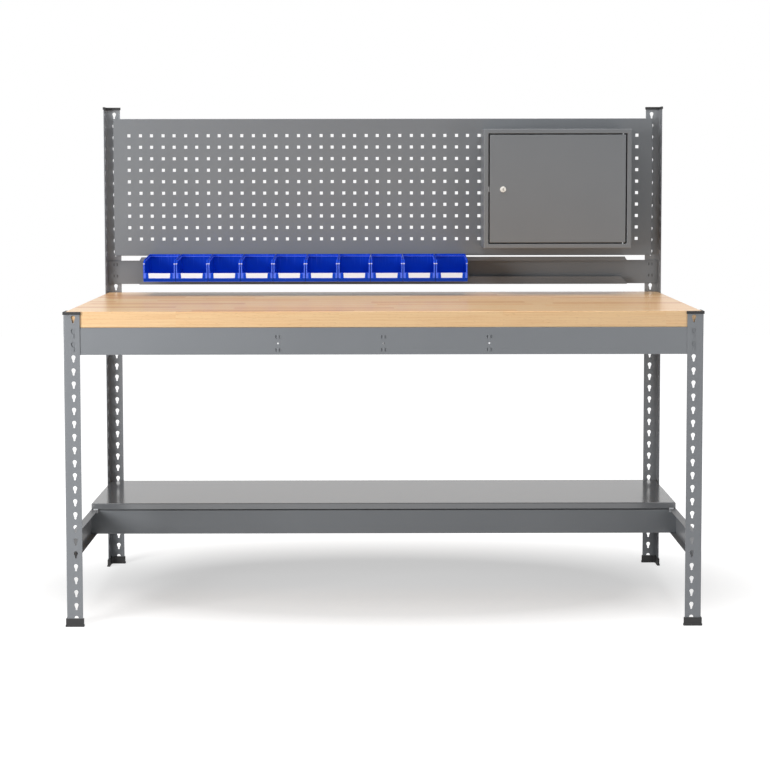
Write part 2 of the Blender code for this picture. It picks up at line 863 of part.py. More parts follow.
def bin_profile():
    """Side view of a bin: depth from its back, which is zero, and height from its floor."""
    crown = BIN_HEIGHT - BIN_HOOK_CROWN
    leg = CLEARANCE + BEAM_SHEET + CLEARANCE
    return [
        (0, 0),
        (BIN_TOE_DEPTH - BIN_DEPTH, 0),
        (-BIN_DEPTH, BIN_TOE_HEIGHT),
        (-BIN_DEPTH, BIN_JAMB_HEIGHT),
        (BIN_SHOULDER_DEPTH - BIN_DEPTH, BIN_SHOULDER_HEIGHT),
        (-BIN_RIM_DEPTH, BIN_HEIGHT),
        (leg + BIN_HOOK_SHEET, BIN_HEIGHT),
        (leg + BIN_HOOK_SHEET, crown - BIN_HOOK_LEG),
        (leg, crown - BIN_HOOK_LEG),
        (leg, crown),
        (0, crown),
    ]


def label_outline(spare):
    """A card a little narrower at its foot, seen from the front."""
    top = LABEL_WIDTH / 2 + spare
    foot = top - LABEL_TAPER
    base = LABEL_BASE - spare
    return [
        (-foot, base),
        (foot, base),
        (top, LABEL_BASE + LABEL_HEIGHT),
        (-top, LABEL_BASE + LABEL_HEIGHT),
    ]


def bin_mesh(material):
    """A bin with its back at the local zero of Y, its floor at zero and its middle at zero."""
    half = BIN_WIDTH / 2
    above = BIN_HEIGHT + OVERCUT
    jamb_back = BIN_SHOULDER_DEPTH + BIN_WALL - BIN_DEPTH
    inside = [
        (BIN_WALL + BIN_TOE_DEPTH - BIN_DEPTH, BIN_WALL),
        (-BIN_WALL, BIN_WALL),
        (-BIN_WALL, above),
        (jamb_back, above),
        (jamb_back, BIN_SHOULDER_HEIGHT - BIN_WALL / 2),
        (BIN_WALL - BIN_DEPTH, BIN_JAMB_HEIGHT - BIN_WALL / 2),
        (BIN_WALL - BIN_DEPTH, BIN_TOE_HEIGHT + BIN_WALL / 2),
    ]
    mouth = rectangle(-BIN_DEPTH - OVERCUT, BIN_FRONT_HEIGHT, jamb_back + OVERCUT, above)
    inner = half - BIN_WALL
    opening = half - BIN_JAMB
    tray = slab("bin", [bin_profile()], "X", -half, half)
    tray = cut(tray, slab("bin_inside", [inside], "X", -inner, inner))
    tray = cut(tray, slab("bin_mouth", [mouth], "X", -opening, opening))
    front = -BIN_DEPTH - HOLDER_DEPTH
    edge = LABEL_WIDTH / 2 + HOLDER_EDGE
    holder = box(
        "label_holder",
        (-edge, front, LABEL_BASE - HOLDER_DEPTH),
        (edge, BIN_WALL / 2 - BIN_DEPTH, LABEL_BASE + LABEL_HEIGHT - CLEARANCE),
    )
    pocket = slab("label_pocket", [label_outline(CLEARANCE)], "Y", front - OVERCUT, -BIN_DEPTH)
    tray = join(tray, cut(holder, pocket))
    return finished("bin", tray, material)


def add_bins(plastic, card):
    pitch = BIN_WIDTH + BIN_GAP
    start = -HALF_WIDTH + RAIL_LIP_END + BIN_START + BIN_WIDTH / 2
    back = rail_lip_y() - CLEARANCE
    lip_top = beam_height(RAIL_KEYHOLE) + BEAM_HEIGHT / 2 + RAIL_TOP_LIP
    floor = lip_top + CLEARANCE + BIN_HOOK_CROWN - BIN_HEIGHT
    mesh = bin_mesh(plastic)
    front = -BIN_DEPTH - CLEARANCE
    label = slab("bin_label", [label_outline(0)], "Y", front - LABEL_SHEET, front)
    label_mesh = finished("bin_label", label, card)
    for i in range(BIN_COUNT):
        spot = (start + i * pitch, back, floor)
        lift = joint_empty(f"bin_lift_{i + 1:02d}", spot)
        place(f"bin_{i + 1:02d}", mesh, spot, parent=lift)
        place(f"bin_label_{i + 1:02d}", label_mesh, spot, parent=lift)


# Cabinet


def cabinet_corners():
    """Lowest and highest corner of the cabinet's outer box."""
    right = PANEL_HALF_WIDTH - CABINET_FROM_RIGHT
    top = panel_base() + PANEL_HEIGHT - CABINET_DROP
    back = PANEL_FRONT_Y - STRAP_SHEET - 2 * CLEARANCE
    low = (right - CABINET_WIDTH, back - CABINET_DEPTH, top - CABINET_HEIGHT)
    return low, (right, back, top)


def opening_corners():
    low, high = cabinet_corners()
    front = low[1]
    low = (low[0] + CABINET_BORDER, front, low[2] + CABINET_BORDER)
    high = (high[0] - CABINET_BORDER, front + FRAME_LIP, high[2] - CABINET_BORDER)
    return low, high


def door_corners():
    low, high = opening_corners()
    front = low[1]
    low = (low[0] + DOOR_GAP, front, low[2] + DOOR_GAP)
    high = (high[0] - DOOR_GAP, front + DOOR_DEPTH, high[2] - DOOR_GAP)
    return low, high


def pivot_place():
    """X and Y of the door's vertical hinge axis."""
    low, high = door_corners()
    return high[0] - PIVOT_FROM_EDGE, low[1] + PIVOT_DEPTH


def lock_place():
    """X and Z of the lock's axis."""
    low, high = door_corners()
    return low[0] + LOCK_FROM_EDGE, (low[2] + high[2]) / 2 - LOCK_DROP


def grown(corners, by):
    low, high = corners
    return [value - by for value in low], [value + by for value in high]


def pin_holes(name, low, high):
    pivot = pivot_place()
    return bar(name, PIN_RADIUS + PIN_HOLE_PLAY, "Z", pivot, low, high, SOME_SIDES)


def add_cabinet_body(steel):
    low, high = cabinet_corners()
    open_low, open_high = opening_corners()
    body = box("cabinet_body", low, high)
    body = cut(body, box("cabinet_inside", *grown((low, high), -CABINET_SHEET)))
    lip = box(
        "frame_lip",
        (open_low[0] - CABINET_SHEET, low[1] + CABINET_SHEET / 2, open_low[2] - CABINET_SHEET),
        (open_high[0] + CABINET_SHEET, open_high[1], open_high[2] + CABINET_SHEET),
    )
    body = join(body, lip)
    opening = box(
        "cabinet_opening",
        (open_low[0], low[1] - OVERCUT, open_low[2]),
        (open_high[0], open_high[1] + OVERCUT, open_high[2]),
    )
    body = cut(body, opening)
    for name, edge in (("pin_hole_low", open_low[2]), ("pin_hole_high", open_high[2])):
        body = cut(body, pin_holes(name, edge - OVERCUT, edge + OVERCUT))
    place("cabinet_body", finished("cabinet_body", body, steel))


def add_straps(steel):
    """Two straps behind the cabinet, each with two hooks through the panel's holes."""
    low, high = cabinet_corners()
    y_low = high[1] + CLEARANCE
    y_high = y_low + STRAP_SHEET
    inside = [
        x for x in perforation_columns() if low[0] + STRAP_INSET < x < high[0] - STRAP_INSET
    ]
    rows = [z for z in perforation_rows() if low[2] + STRAP_INSET < z < high[2] - STRAP_INSET]
    for side, column in (("left", inside[0]), ("right", inside[-1])):
        half = STRAP_WIDTH / 2
        strap = box(
            "strap",
            (column - half, y_low, low[2] + STRAP_INSET / 2),
            (column + half, y_high, high[2] - STRAP_INSET / 2),
        )
        for row in (rows[0], rows[-1]):
            outline = hook_outline(
                STRAP_SHEET / 2,
                row - PERFORATION / 2 + CLEARANCE,
                STRAP_HOOK_PLATE,
                STRAP_HOOK_NECK,
                STRAP_HOOK_TOOTH,
                PANEL_SHEET,
            )
            backwards = [(y_high - across, up) for across, up in outline]
            hook_half = STRAP_HOOK_WIDTH / 2
            strap = join(
                strap,
                slab("strap_hook", [backwards], "X", column - hook_half, column + hook_half),
            )
        name = f"cabinet_strap_{side}"
        place(name, finished(name, strap, steel))


def add_door(steel, hinge):
    low, high = door_corners()
    lock_x, lock_z = lock_place()
    door = box("cabinet_door", low, high)
    hollow = box(
        "door_hollow",
        (low[0] + DOOR_SHEET, low[1] + DOOR_SHEET, low[2] + DOOR_SHEET),
        (high[0] - DOOR_SHEET, high[1] + OVERCUT, high[2] - DOOR_SHEET),
    )
    door = cut(door, hollow)
    radius = LOCK_BODY_RADIUS + PIN_HOLE_PLAY
    hole = bar(
        "lock_hole",
        radius,
        "Y",
        (lock_x, lock_z),
        low[1] - OVERCUT,
        low[1] + OVERCUT,
        MANY_SIDES,
    )
    door = cut(door, hole)
    for name, edge in (("door_pin_low", low[2]), ("door_pin_high", high[2])):
        door = cut(door, pin_holes(name, edge - OVERCUT / 2, edge + OVERCUT / 2))
    place("cabinet_door", finished("cabinet_door", door, steel), parent=hinge)


def add_pins(zinc):
    """Upright pins held in the frame's lip, on which the door turns."""
    open_low, open_high = opening_corners()
    spans = {
        "bottom": (open_low[2] - CABINET_SHEET - PIN_REACH, door_corners()[0][2] + PIN_REACH),
        "top": (door_corners()[1][2] - PIN_REACH, open_high[2] + CABINET_SHEET + PIN_REACH),
    }
    for end, (low, high) in spans.items():
        pin = bar("hinge_pin", PIN_RADIUS, "Z", pivot_place(), low, high, SOME_SIDES)
        name = f"hinge_pin_{end}"
        place(name, finished(name, pin, zinc, smooth=True))


def cam_front_y():
    """Front face of the cam, just behind the frame's lip and the door's edges."""
    return opening_corners()[1][1] + LOCK_REAR_PLAY


def add_lock(nickel, zinc, hinge):
    spot = lock_place()
    front = door_corners()[0][1]
    inner = front + DOOR_SHEET
    rear = cam_front_y() - CLEARANCE
    face_y = front - CLEARANCE - LOCK_FACE
    housing = bar(
        "lock_housing", LOCK_FACE_RADIUS, "Y", spot, face_y, front - CLEARANCE, MANY_SIDES
    )
    sleeve_start = front - CLEARANCE - LOCK_FACE / 2
    sleeve_end = rear - LOCK_REAR_PLAY
    sleeve = bar(
        "lock_sleeve", LOCK_BODY_RADIUS, "Y", spot, sleeve_start, sleeve_end, MANY_SIDES
    )
    housing = join(housing, sleeve)
    bore_radius = LOCK_PLUG_RADIUS + CLEARANCE
    housing = cut(
        housing,
        bar("lock_bore", bore_radius, "Y", spot, face_y - OVERCUT, rear + OVERCUT, MANY_SIDES),
    )
    housing_mesh = finished("lock_housing", housing, nickel, smooth=True)
    place("lock_housing", housing_mesh, parent=hinge)

    nut = bar(
        "lock_nut",
        LOCK_NUT_RADIUS,
        "Y",
        spot,
        inner + CLEARANCE,
        inner + CLEARANCE + LOCK_NUT,
        FEW_SIDES,
    )
    clear = bar(
        "nut_bore",
        LOCK_BODY_RADIUS + PIN_HOLE_PLAY,
        "Y",
        spot,
        inner - OVERCUT,
        inner + LOCK_NUT + OVERCUT,
        MANY_SIDES,
    )
    place("lock_nut", finished("lock_nut", cut(nut, clear), zinc), parent=hinge)

    turn = joint_empty("lock_turn", (spot[0], face_y, spot[1]))
    turn.parent = hinge
    turn.matrix_parent_inverse = hinge.matrix_world.inverted()
    plug_face = face_y - LOCK_PLUG_PROUD
    plug = bar("lock_plug", LOCK_PLUG_RADIUS, "Y", spot, plug_face, rear, MANY_SIDES)
    keyway = box(
        "keyway",
        (spot[0] - KEYWAY_WIDTH / 2, plug_face - OVERCUT, spot[1] - KEYWAY_LENGTH / 2),
        (spot[0] + KEYWAY_WIDTH / 2, plug_face + KEYWAY_DEPTH, spot[1] + KEYWAY_LENGTH / 2),
    )
    plug_mesh = finished("lock_plug", cut(plug, keyway), nickel, smooth=True)
    place("lock_plug", plug_mesh, parent=turn)

    half = CAM_WIDTH / 2
    arc = [
        (
            spot[0] + half * math.cos(math.pi * i / FEW_SIDES),
            spot[1] + half * math.sin(math.pi * i / FEW_SIDES),
        )
        for i in range(FEW_SIDES + 1)
    ]
    tip = spot[1] - CAM_LENGTH
    cam_outline = [*arc, (spot[0] - half, tip), (spot[0] + half, tip)]
    cam_y = cam_front_y()
    cam = slab("lock_cam", [cam_outline], "Y", cam_y, cam_y + CAM_SHEET)
    place("lock_cam", finished("lock_cam", cam, zinc), parent=turn)
    head_y = cam_y + CAM_SHEET + CLEARANCE
    screw = bar("cam_screw", SCREW_RADIUS, "Y", spot, head_y, head_y + SCREW_HEAD, FEW_SIDES)
    place("cam_screw", finished("cam_screw", screw, zinc), parent=turn)


def add_keeper(zinc):
    """A plate on the frame's lip beside the lock, seen in the gap round the door."""
    low = opening_corners()[0]
    middle = lock_place()[1]
    inset = (FRAME_LIP - KEEPER_DEPTH) / 2
    plate = box(
        "lock_keeper",
        (low[0] + CLEARANCE, low[1] + inset, middle - KEEPER_HEIGHT / 2),
        (
            low[0] + CLEARANCE + KEEPER_SHEET,
            low[1] + inset + KEEPER_DEPTH,
            middle + KEEPER_HEIGHT / 2,
        ),
    )
    place("lock_keeper", finished("lock_keeper", plate, zinc))


def add_cabinet(steel, nickel, zinc):
    add_cabinet_body(steel)
    add_straps(zinc)
    pivot = pivot_place()
    middle = (door_corners()[0][2] + door_corners()[1][2]) / 2
    hinge = joint_empty("door_hinge", (pivot[0], pivot[1], middle))
    add_door(steel, hinge)
    add_pins(zinc)
    add_lock(nickel, zinc, hinge)
    add_keeper(zinc)


def main():
    clear_scene()
    new_collection("workbench")
    helpers = new_collection("cutters")
    helpers.hide_render = True
    steel = new_material("grey_powder_coat", STEEL_GREY, 0.45, 0.0)
    shelf_steel = new_material("grey_shelf_coat", SHELF_GREY, 0.35, 0.0)
    wood = new_material("oiled_beech", BEECH, 0.40, 0.0)
    black = new_material("black_plastic", BLACK_PLASTIC, 0.55, 0.0)
    blue = new_material("blue_plastic", BIN_BLUE, 0.30, 0.0)
    card = new_material("white_card", CARD_WHITE, 0.70, 0.0)
    nickel = new_material("nickel_plate", NICKEL, 0.22, 1.0)
    zinc = new_material("zinc_plate", ZINC, 0.35, 1.0)
    add_posts(steel, black)
    add_beams(steel)
    add_worktop(wood)
    add_shelf(shelf_steel)
    add_panel(steel)
    add_rail(steel)
    add_bins(blue, card)
    add_cabinet(steel, nickel, zinc)


main()
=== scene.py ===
import math

import bmesh
import bpy
from mathutils import Matrix, Vector


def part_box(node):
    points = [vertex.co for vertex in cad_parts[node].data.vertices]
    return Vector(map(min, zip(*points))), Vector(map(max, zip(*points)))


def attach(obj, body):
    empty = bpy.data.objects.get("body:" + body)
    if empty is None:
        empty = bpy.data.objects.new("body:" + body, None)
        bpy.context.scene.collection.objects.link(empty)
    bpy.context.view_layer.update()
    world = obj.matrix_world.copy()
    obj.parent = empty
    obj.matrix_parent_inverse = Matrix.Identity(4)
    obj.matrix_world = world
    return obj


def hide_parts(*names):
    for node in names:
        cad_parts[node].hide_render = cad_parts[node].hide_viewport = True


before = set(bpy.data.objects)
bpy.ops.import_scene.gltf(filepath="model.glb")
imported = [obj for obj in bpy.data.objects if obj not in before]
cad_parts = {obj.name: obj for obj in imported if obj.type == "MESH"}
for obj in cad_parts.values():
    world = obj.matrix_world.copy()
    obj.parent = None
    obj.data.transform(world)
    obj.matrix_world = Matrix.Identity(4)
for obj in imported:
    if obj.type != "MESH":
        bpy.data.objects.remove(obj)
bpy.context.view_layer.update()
print("frame loaded:", len(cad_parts), "nodes")


# Camera at the photo's angle

photoView = {
    "place": (-0.0075, -5.0964, 1.3181),
    "tilt": 0.05834,
    "roll": 0.00138,
    "turn": -0.00255,
    "sensor": 36.0,
    "focalShare": 2.1371,
    "shiftUp": -0.1527,
}


def makeCamera():
    data = bpy.data.cameras.new("photoCamera")
    data.sensor_width = photoView["sensor"]
    data.lens = photoView["sensor"] * photoView["focalShare"]
    data.shift_y = photoView["shiftUp"]
    camera = bpy.data.objects.new("photoCamera", data)
    camera.location = photoView["place"]
    camera.rotation_euler = (math.pi / 2 - photoView["tilt"], photoView["roll"], photoView["turn"])
    bpy.context.scene.collection.objects.link(camera)
    bpy.context.scene.camera = camera


makeCamera()
print("camera placed")


# Node helpers

def addNode(tree, kind, inputs=None, **settings):
    made = tree.nodes.new(kind)
    for key, value in settings.items():
        setattr(made, key, value)
    for key, value in (inputs or {}).items():
        if isinstance(value, bpy.types.NodeSocket):
            tree.links.new(value, made.inputs[key])
        else:
            made.inputs[key].default_value = value
    return made


def calc(tree, operation, *values):
    return addNode(tree, "ShaderNodeMath", dict(enumerate(values)), operation=operation).outputs[0]


def aroundMiddle(tree, value):
    # a noise runs from 0 to 1, and this puts its middle at zero
    return calc(tree, "SUBTRACT", value, 0.5)


def mixColour(tree, factor, first, second, blend="MIX"):
    inputs = {0: factor, 6: first, 7: second}
    return addNode(tree, "ShaderNodeMix", inputs, data_type="RGBA", blend_type=blend).outputs[2]


def spread(tree, value, low, high, newLow, newHigh):
    inputs = {"Value": value, "From Min": low, "From Max": high, "To Min": newLow, "To Max": newHigh}
    return addNode(tree, "ShaderNodeMapRange", inputs).outputs["Result"]


def changeVector(tree, operation, first, second):
    return addNode(tree, "ShaderNodeVectorMath", {0: first, 1: second}, operation=operation).outputs[0]


def axisOf(tree, vector, axis):
    return addNode(tree, "ShaderNodeSeparateXYZ", {"Vector": vector}).outputs[axis]


def addNoise(tree, vector, scale, detail, rough=0.5, twist=0.0):
    inputs = {"Vector": vector, "Scale": scale, "Detail": detail, "Roughness": rough, "Distortion": twist}
    return addNode(tree, "ShaderNodeTexNoise", inputs).outputs["Fac"]


def drawnNoise(tree, place, stretch, detail, rough=0.5, twist=0.0):
    # a noise that is long along the axis with the smallest stretch
    return addNoise(tree, changeVector(tree, "MULTIPLY", place, stretch), 1.0, detail, rough, twist)


def newGroup(name, inputs, outputs, kind="ShaderNodeTree"):
    tree = bpy.data.node_groups.new(name, kind)
    for way, sockets in (("INPUT", inputs), ("OUTPUT", outputs)):
        for label, sort in sockets.items():
            tree.interface.new_socket(label, in_out=way, socket_type=f"NodeSocket{sort}")
    return tree, tree.nodes.new("NodeGroupInput").outputs, tree.nodes.new("NodeGroupOutput").inputs


# Surface effects that several finishes share

effects = {
    "grainDetail": 2.0,
    "grainRough": 0.55,
    "grainShare": 0.5,  # what the grain counts beside the mottling
    "mottleDetail": 3.0,
    "dustColour": (0.62, 0.61, 0.59, 1),
    "dustFrom": 0.6,  # how far up a face looks before dust lies on it
    "dustScale": 9.0,
    "dustDetail": 5.0,
    "dustUneven": 0.65,
    "dustPatch": (0.35, 0.75, 0.35, 1.0),  # noise from and to, dust from and to
    "dustRough": 0.5,
    "streakStretch": (1.0, 1.0, 0.06),
    "streakDetail": 3.0,
    "streakRough": 0.6,
}


def makeGrainGroup():
    # fine grain and broad mottling of a coat, a moulding, card or metal
    tree, into, out = newGroup("fineGrain", {
        "Vector": "Vector", "Colour": "Color", "Roughness": "Float", "Grain Scale": "Float",
        "Mottle Scale": "Float", "Mottle": "Float", "Rough Change": "Float",
    }, {"Colour": "Color", "Roughness": "Float", "Height": "Float"})
    grain = addNoise(tree, into["Vector"], into["Grain Scale"], effects["grainDetail"], effects["grainRough"])
    broad = addNoise(tree, into["Vector"], into["Mottle Scale"], effects["mottleDetail"])
    speck = calc(tree, "MULTIPLY", aroundMiddle(tree, grain), effects["grainShare"])
    both = calc(tree, "ADD", aroundMiddle(tree, broad), speck)
    light = calc(tree, "MULTIPLY_ADD", both, into["Mottle"], 1.0)
    shade = addNode(tree, "ShaderNodeCombineColor", {"Red": light, "Green": light, "Blue": light}).outputs[0]
    tree.links.new(mixColour(tree, 1.0, into["Colour"], shade, "MULTIPLY"), out["Colour"])
    change = calc(tree, "MULTIPLY", both, into["Rough Change"])
    tree.links.new(calc(tree, "ADD", into["Roughness"], change), out["Roughness"])
    tree.links.new(grain, out["Height"])
    return tree


def makeDustGroup():
    # a thin veil of dust on faces that look up
    tree, into, out = newGroup("settledDust", {
        "Vector": "Vector", "Colour": "Color", "Roughness": "Float", "Amount": "Float",
    }, {"Colour": "Color", "Roughness": "Float"})
    normal = addNode(tree, "ShaderNodeNewGeometry").outputs["Normal"]
    facing = spread(tree, axisOf(tree, normal, "Z"), effects["dustFrom"], 1.0, 0.0, 1.0)
    drift = addNoise(tree, into["Vector"], effects["dustScale"], effects["dustDetail"], effects["dustUneven"])
    patch = spread(tree, drift, *effects["dustPatch"])
    veil = calc(tree, "MULTIPLY", calc(tree, "MULTIPLY", facing, patch), into["Amount"])
    tree.links.new(mixColour(tree, veil, into["Colour"], effects["dustColour"]), out["Colour"])
    change = calc(tree, "MULTIPLY", veil, effects["dustRough"])
    tree.links.new(calc(tree, "ADD", into["Roughness"], change), out["Roughness"])
    return tree


def makeStreakGroup():
    # fine streaks of a plated or rolled metal
    tree, into, out = newGroup("fineStreaks", {
        "Vector": "Vector", "Roughness": "Float", "Streak Scale": "Float", "Depth": "Float",
    }, {"Roughness": "Float", "Height": "Float"})
    drawn = changeVector(tree, "MULTIPLY", into["Vector"], effects["streakStretch"])
    streak = addNoise(tree, drawn, into["Streak Scale"], effects["streakDetail"], effects["streakRough"])
    change = calc(tree, "MULTIPLY", aroundMiddle(tree, streak), into["Depth"])
    tree.links.new(calc(tree, "ADD", into["Roughness"], change), out["Roughness"])
    tree.links.new(streak, out["Height"])
    return tree


grainGroup = makeGrainGroup()
dustGroup = makeDustGroup()
streakGroup = makeStreakGroup()


def addGroup(tree, group, inputs):
    return addNode(tree, "ShaderNodeGroup", inputs, node_tree=group).outputs


def newMaterial(name, colour):
    made = bpy.data.materials.new(name)
    made.use_nodes = True
    made.diffuse_color = colour
    tree = made.node_tree
    place = addNode(tree, "ShaderNodeTexCoord").outputs["Object"]
    return made, tree, tree.nodes["Principled BSDF"], place


def addBump(tree, shader, height, strength, distance):
    bump = addNode(tree, "ShaderNodeBump", {"Height": height, "Strength": strength, "Distance": distance})
    tree.links.new(bump.outputs["Normal"], shader.inputs["Normal"])


# Coated, moulded and printed finishes, and two blues that paint highlights

steelCoat = {
    "rough": 0.40, "level": 0.5, "dust": 0.05, "grain": 620.0,
    "mottleScale": 4.0, "mottle": 0.10, "roughChange": 0.10, "bump": 0.30, "bumpDepth": 0.00006,
}
finishes = {
    "powderCoat": {"colour": (0.194, 0.206, 0.220, 1), **steelCoat},
    "frameCoat": {"colour": (0.257, 0.270, 0.288, 1), **steelCoat},
    "shelfCoat": {
        "colour": (0.176, 0.184, 0.195, 1), "rough": 0.16, "level": 1.0, "dust": 0.0, "grain": 620.0,
        "mottleScale": 4.0, "mottle": 0.06, "roughChange": 0.04, "bump": 0.15, "bumpDepth": 0.00004,
    },
    "blackPlastic": {
        "colour": (0.035, 0.035, 0.036, 1), "rough": 0.56, "level": 0.5, "dust": 0.10, "grain": 1500.0,
        "mottleScale": 30.0, "mottle": 0.25, "roughChange": 0.10, "bump": 0.45, "bumpDepth": 0.00008,
    },
    "bluePlastic": {
        "colour": (0.001, 0.058, 0.620, 1), "rough": 0.32, "level": 0.15, "dust": 0.0, "grain": 300.0,
        "mottleScale": 16.0, "mottle": 0.12, "roughChange": 0.10, "bump": 0.10, "bumpDepth": 0.00008,
    },
    # a lighter blue that paints highlights on the bins' edges and upper walls
    "blueHighlight": {
        "colour": (0.095, 0.190, 0.960, 1), "rough": 0.28, "level": 0.45, "dust": 0.0, "grain": 300.0,
        "mottleScale": 16.0, "mottle": 0.10, "roughChange": 0.08, "bump": 0.08, "bumpDepth": 0.00006,
    },
    # a pale blue that paints the highlight on the jambs' tops
    "blueCapHighlight": {
        "colour": (0.560, 0.600, 1.000, 1), "rough": 0.25, "level": 0.6, "dust": 0.0, "grain": 300.0,
        "mottleScale": 16.0, "mottle": 0.05, "roughChange": 0.05, "bump": 0.05, "bumpDepth": 0.00006,
    },
    "labelCard": {
        "colour": (0.850, 0.900, 1.000, 1), "rough": 0.70, "level": 0.3, "dust": 0.0, "grain": 2200.0,
        "mottleScale": 40.0, "mottle": 0.04, "roughChange": 0.08, "bump": 0.30, "bumpDepth": 0.00003,
    },
}

# lighter upright streaks high on the bins' walls, painted highlights
highlightStreaks = {
    "stretch": (230.0, 60.0, 7.0),
    "detail": 2.0,
    "gleamFrom": 0.55,
    "gleamTo": 0.75,
    "strongest": 0.55,
    "heightFrom": 1.000,
    "heightTo": 1.038,
}


def addHighlightStreaks(tree, place, colour):
    # faint lighter upright streaks on the upper part of the bins' walls, painted highlights
    gleam = drawnNoise(tree, place, highlightStreaks["stretch"], highlightStreaks["detail"])
    strong = spread(tree, gleam, highlightStreaks["gleamFrom"], highlightStreaks["gleamTo"], 0.0, highlightStreaks["strongest"])
    upper = spread(tree, axisOf(tree, place, "Z"), highlightStreaks["heightFrom"], highlightStreaks["heightTo"], 0.0, 1.0)
    return mixColour(tree, calc(tree, "MULTIPLY", strong, upper), colour, finishes["blueHighlight"]["colour"])


def makeFinish(name):
    values = finishes[name]
    made, tree, shader, place = newMaterial(name, values["colour"])
    grain = addGroup(tree, grainGroup, {
        "Vector": place, "Colour": values["colour"], "Roughness": values["rough"],
        "Grain Scale": values["grain"], "Mottle Scale": values["mottleScale"],
        "Mottle": values["mottle"], "Rough Change": values["roughChange"],
    })
    dust = addGroup(tree, dustGroup, {
        "Vector": place, "Colour": grain["Colour"], "Roughness": grain["Roughness"], "Amount": values["dust"],
    })
    colour = dust["Colour"]
    # the bins' blue gets painted highlight streaks high on its walls
    if name == "bluePlastic":
        colour = addHighlightStreaks(tree, place, colour)
    tree.links.new(colour, shader.inputs["Base Color"])
    tree.links.new(dust["Roughness"], shader.inputs["Roughness"])
    addBump(tree, shader, grain["Height"], values["bump"], values["bumpDepth"])
    shader.inputs["Specular IOR Level"].default_value = values["level"]
    return made


# Plated metals

plating = {
    # the nickel is near white with little metal, so the lock face shows bright: partly its plating, partly a
    # painted reflection
    "nickel": {
        "colour": (0.99, 0.98, 0.93, 1), "metal": 0.20, "rough": 0.34, "streak": 1500.0, "change": 0.12,
    },
    "zinc": {
        "colour": (0.78, 0.80, 0.82, 1), "metal": 0.45, "rough": 0.38, "streak": 900.0, "change": 0.22,
    },
}
platingGrain = {"Grain Scale": 900.0, "Mottle Scale": 120.0, "Mottle": 0.14, "Rough Change": 0.05}
platingBump = {"strength": 0.15, "distance": 0.00003}


def makePlating(name):
    values = plating[name]
    made, tree, shader, place = newMaterial(name, values["colour"])
    grain = addGroup(tree, grainGroup, {
        "Vector": place, "Colour": values["colour"], "Roughness": values["rough"], **platingGrain,
    })
    streaks = addGroup(tree, streakGroup, {
        "Vector": place, "Roughness": grain["Roughness"],
        "Streak Scale": values["streak"], "Depth": values["change"],
    })
    tree.links.new(grain["Colour"], shader.inputs["Base Color"])
    tree.links.new(streaks["Roughness"], shader.inputs["Roughness"])
    shader.inputs["Metallic"].default_value = values["metal"]
    addBump(tree, shader, streaks["Height"], **platingBump)
    return made


# Glued staves with finger joints

wood = {
    "staveWidth": 0.0428,
    "staveLength": 0.47,
    "rowShift": 0.5,
    "staveShift": 3.0,
    "fingerDepth": 0.0045,
    "fingerPitch": 0.0036,
    "glueLine": 0.00035,
    "glueDark": 0.45,
    "pale": (1.000, 0.690, 0.385, 1),
    "middle": (0.990, 0.600, 0.290, 1),
    "deep": (0.760, 0.370, 0.150, 1),
    "pore": (0.500, 0.250, 0.100, 1),
    "paleAt": 0.05,
    "middleAt": 0.62,
    "topTone": 1.15,  # how much the top's staves differ from each other
    "topFrom": -0.20,
    "frontTone": 0.10,
    "figureTone": 0.9,
    "frontFrom": 0.6,
    "endFrom": 0.7,
    "facingTo": 0.9,
    "jump": (7.0, 7.0, 7.0),
    "fibre": {"stretch": (5.0, 260.0, 260.0), "detail": 3.0, "rough": 0.6},
    "figure": {"stretch": (1.3, 34.0, 34.0), "detail": 4.0, "rough": 0.55, "twist": 0.6},
    "fleck": {"stretch": (60.0, 900.0, 900.0), "detail": 1.0},
    "fibreDark": (0.40, 0.70, 0.0, 0.30),  # noise from and to, dark from and to
    "fleckDark": (0.62, 0.74, 0.0, 0.35),
    "ringDark": (0.2, 0.9, 0.1, 0.6),
    "rings": {"Scale": 95.0, "Distortion": 3.0, "Detail": 2.0, "Detail Scale": 2.0},
    "dust": 0.02,
    "level": 0.40,
    "rough": 0.30,
    "roughChange": 0.14,
    "fibreRelief": 0.5,
    "bump": 0.35,
    "bumpDepth": 0.00012,
}


def layStaves(tree, place):
    # counts rows of staves, and the staves in a row, which end in a zigzag
    parts = addNode(tree, "ShaderNodeSeparateXYZ", {"Vector": place}).outputs
    across = calc(tree, "DIVIDE", calc(tree, "ADD", parts["Y"], wood["rowShift"]), wood["staveWidth"])
    row = calc(tree, "FLOOR", across)
    rowNoise = addNode(tree, "ShaderNodeTexWhiteNoise", {"W": row}, noise_dimensions="1D").outputs["Value"]
    teeth = calc(tree, "PINGPONG", parts["Y"], wood["fingerPitch"])
    zigzag = calc(tree, "MULTIPLY", teeth, wood["fingerDepth"] / wood["fingerPitch"])
    moved = calc(tree, "MULTIPLY_ADD", rowNoise, wood["staveLength"], calc(tree, "ADD", parts["X"], zigzag))
    along = calc(tree, "DIVIDE", calc(tree, "ADD", moved, wood["staveShift"]), wood["staveLength"])
    stave = addNode(tree, "ShaderNodeCombineXYZ", {"X": row, "Y": calc(tree, "FLOOR", along)}).outputs[0]
    pick = addNode(tree, "ShaderNodeTexWhiteNoise", {"Vector": stave}, noise_dimensions="2D").outputs
    return across, along, pick


def drawGlue(tree, across, along, frontOn):
    # a thin line round each stave of the top, and none on the front edge
    rows = calc(tree, "PINGPONG", across, 0.5)
    ends = calc(tree, "PINGPONG", along, 0.5)
    rowLine = spread(tree, rows, 0.0, wood["glueLine"] / wood["staveWidth"], 1.0, 0.0)
    endLine = spread(tree, ends, 0.0, wood["glueLine"] / wood["staveLength"], 1.0, 0.0)
    line = calc(tree, "MAXIMUM", rowLine, endLine)
    return calc(tree, "MULTIPLY", line, calc(tree, "SUBTRACT", 1.0, frontOn))


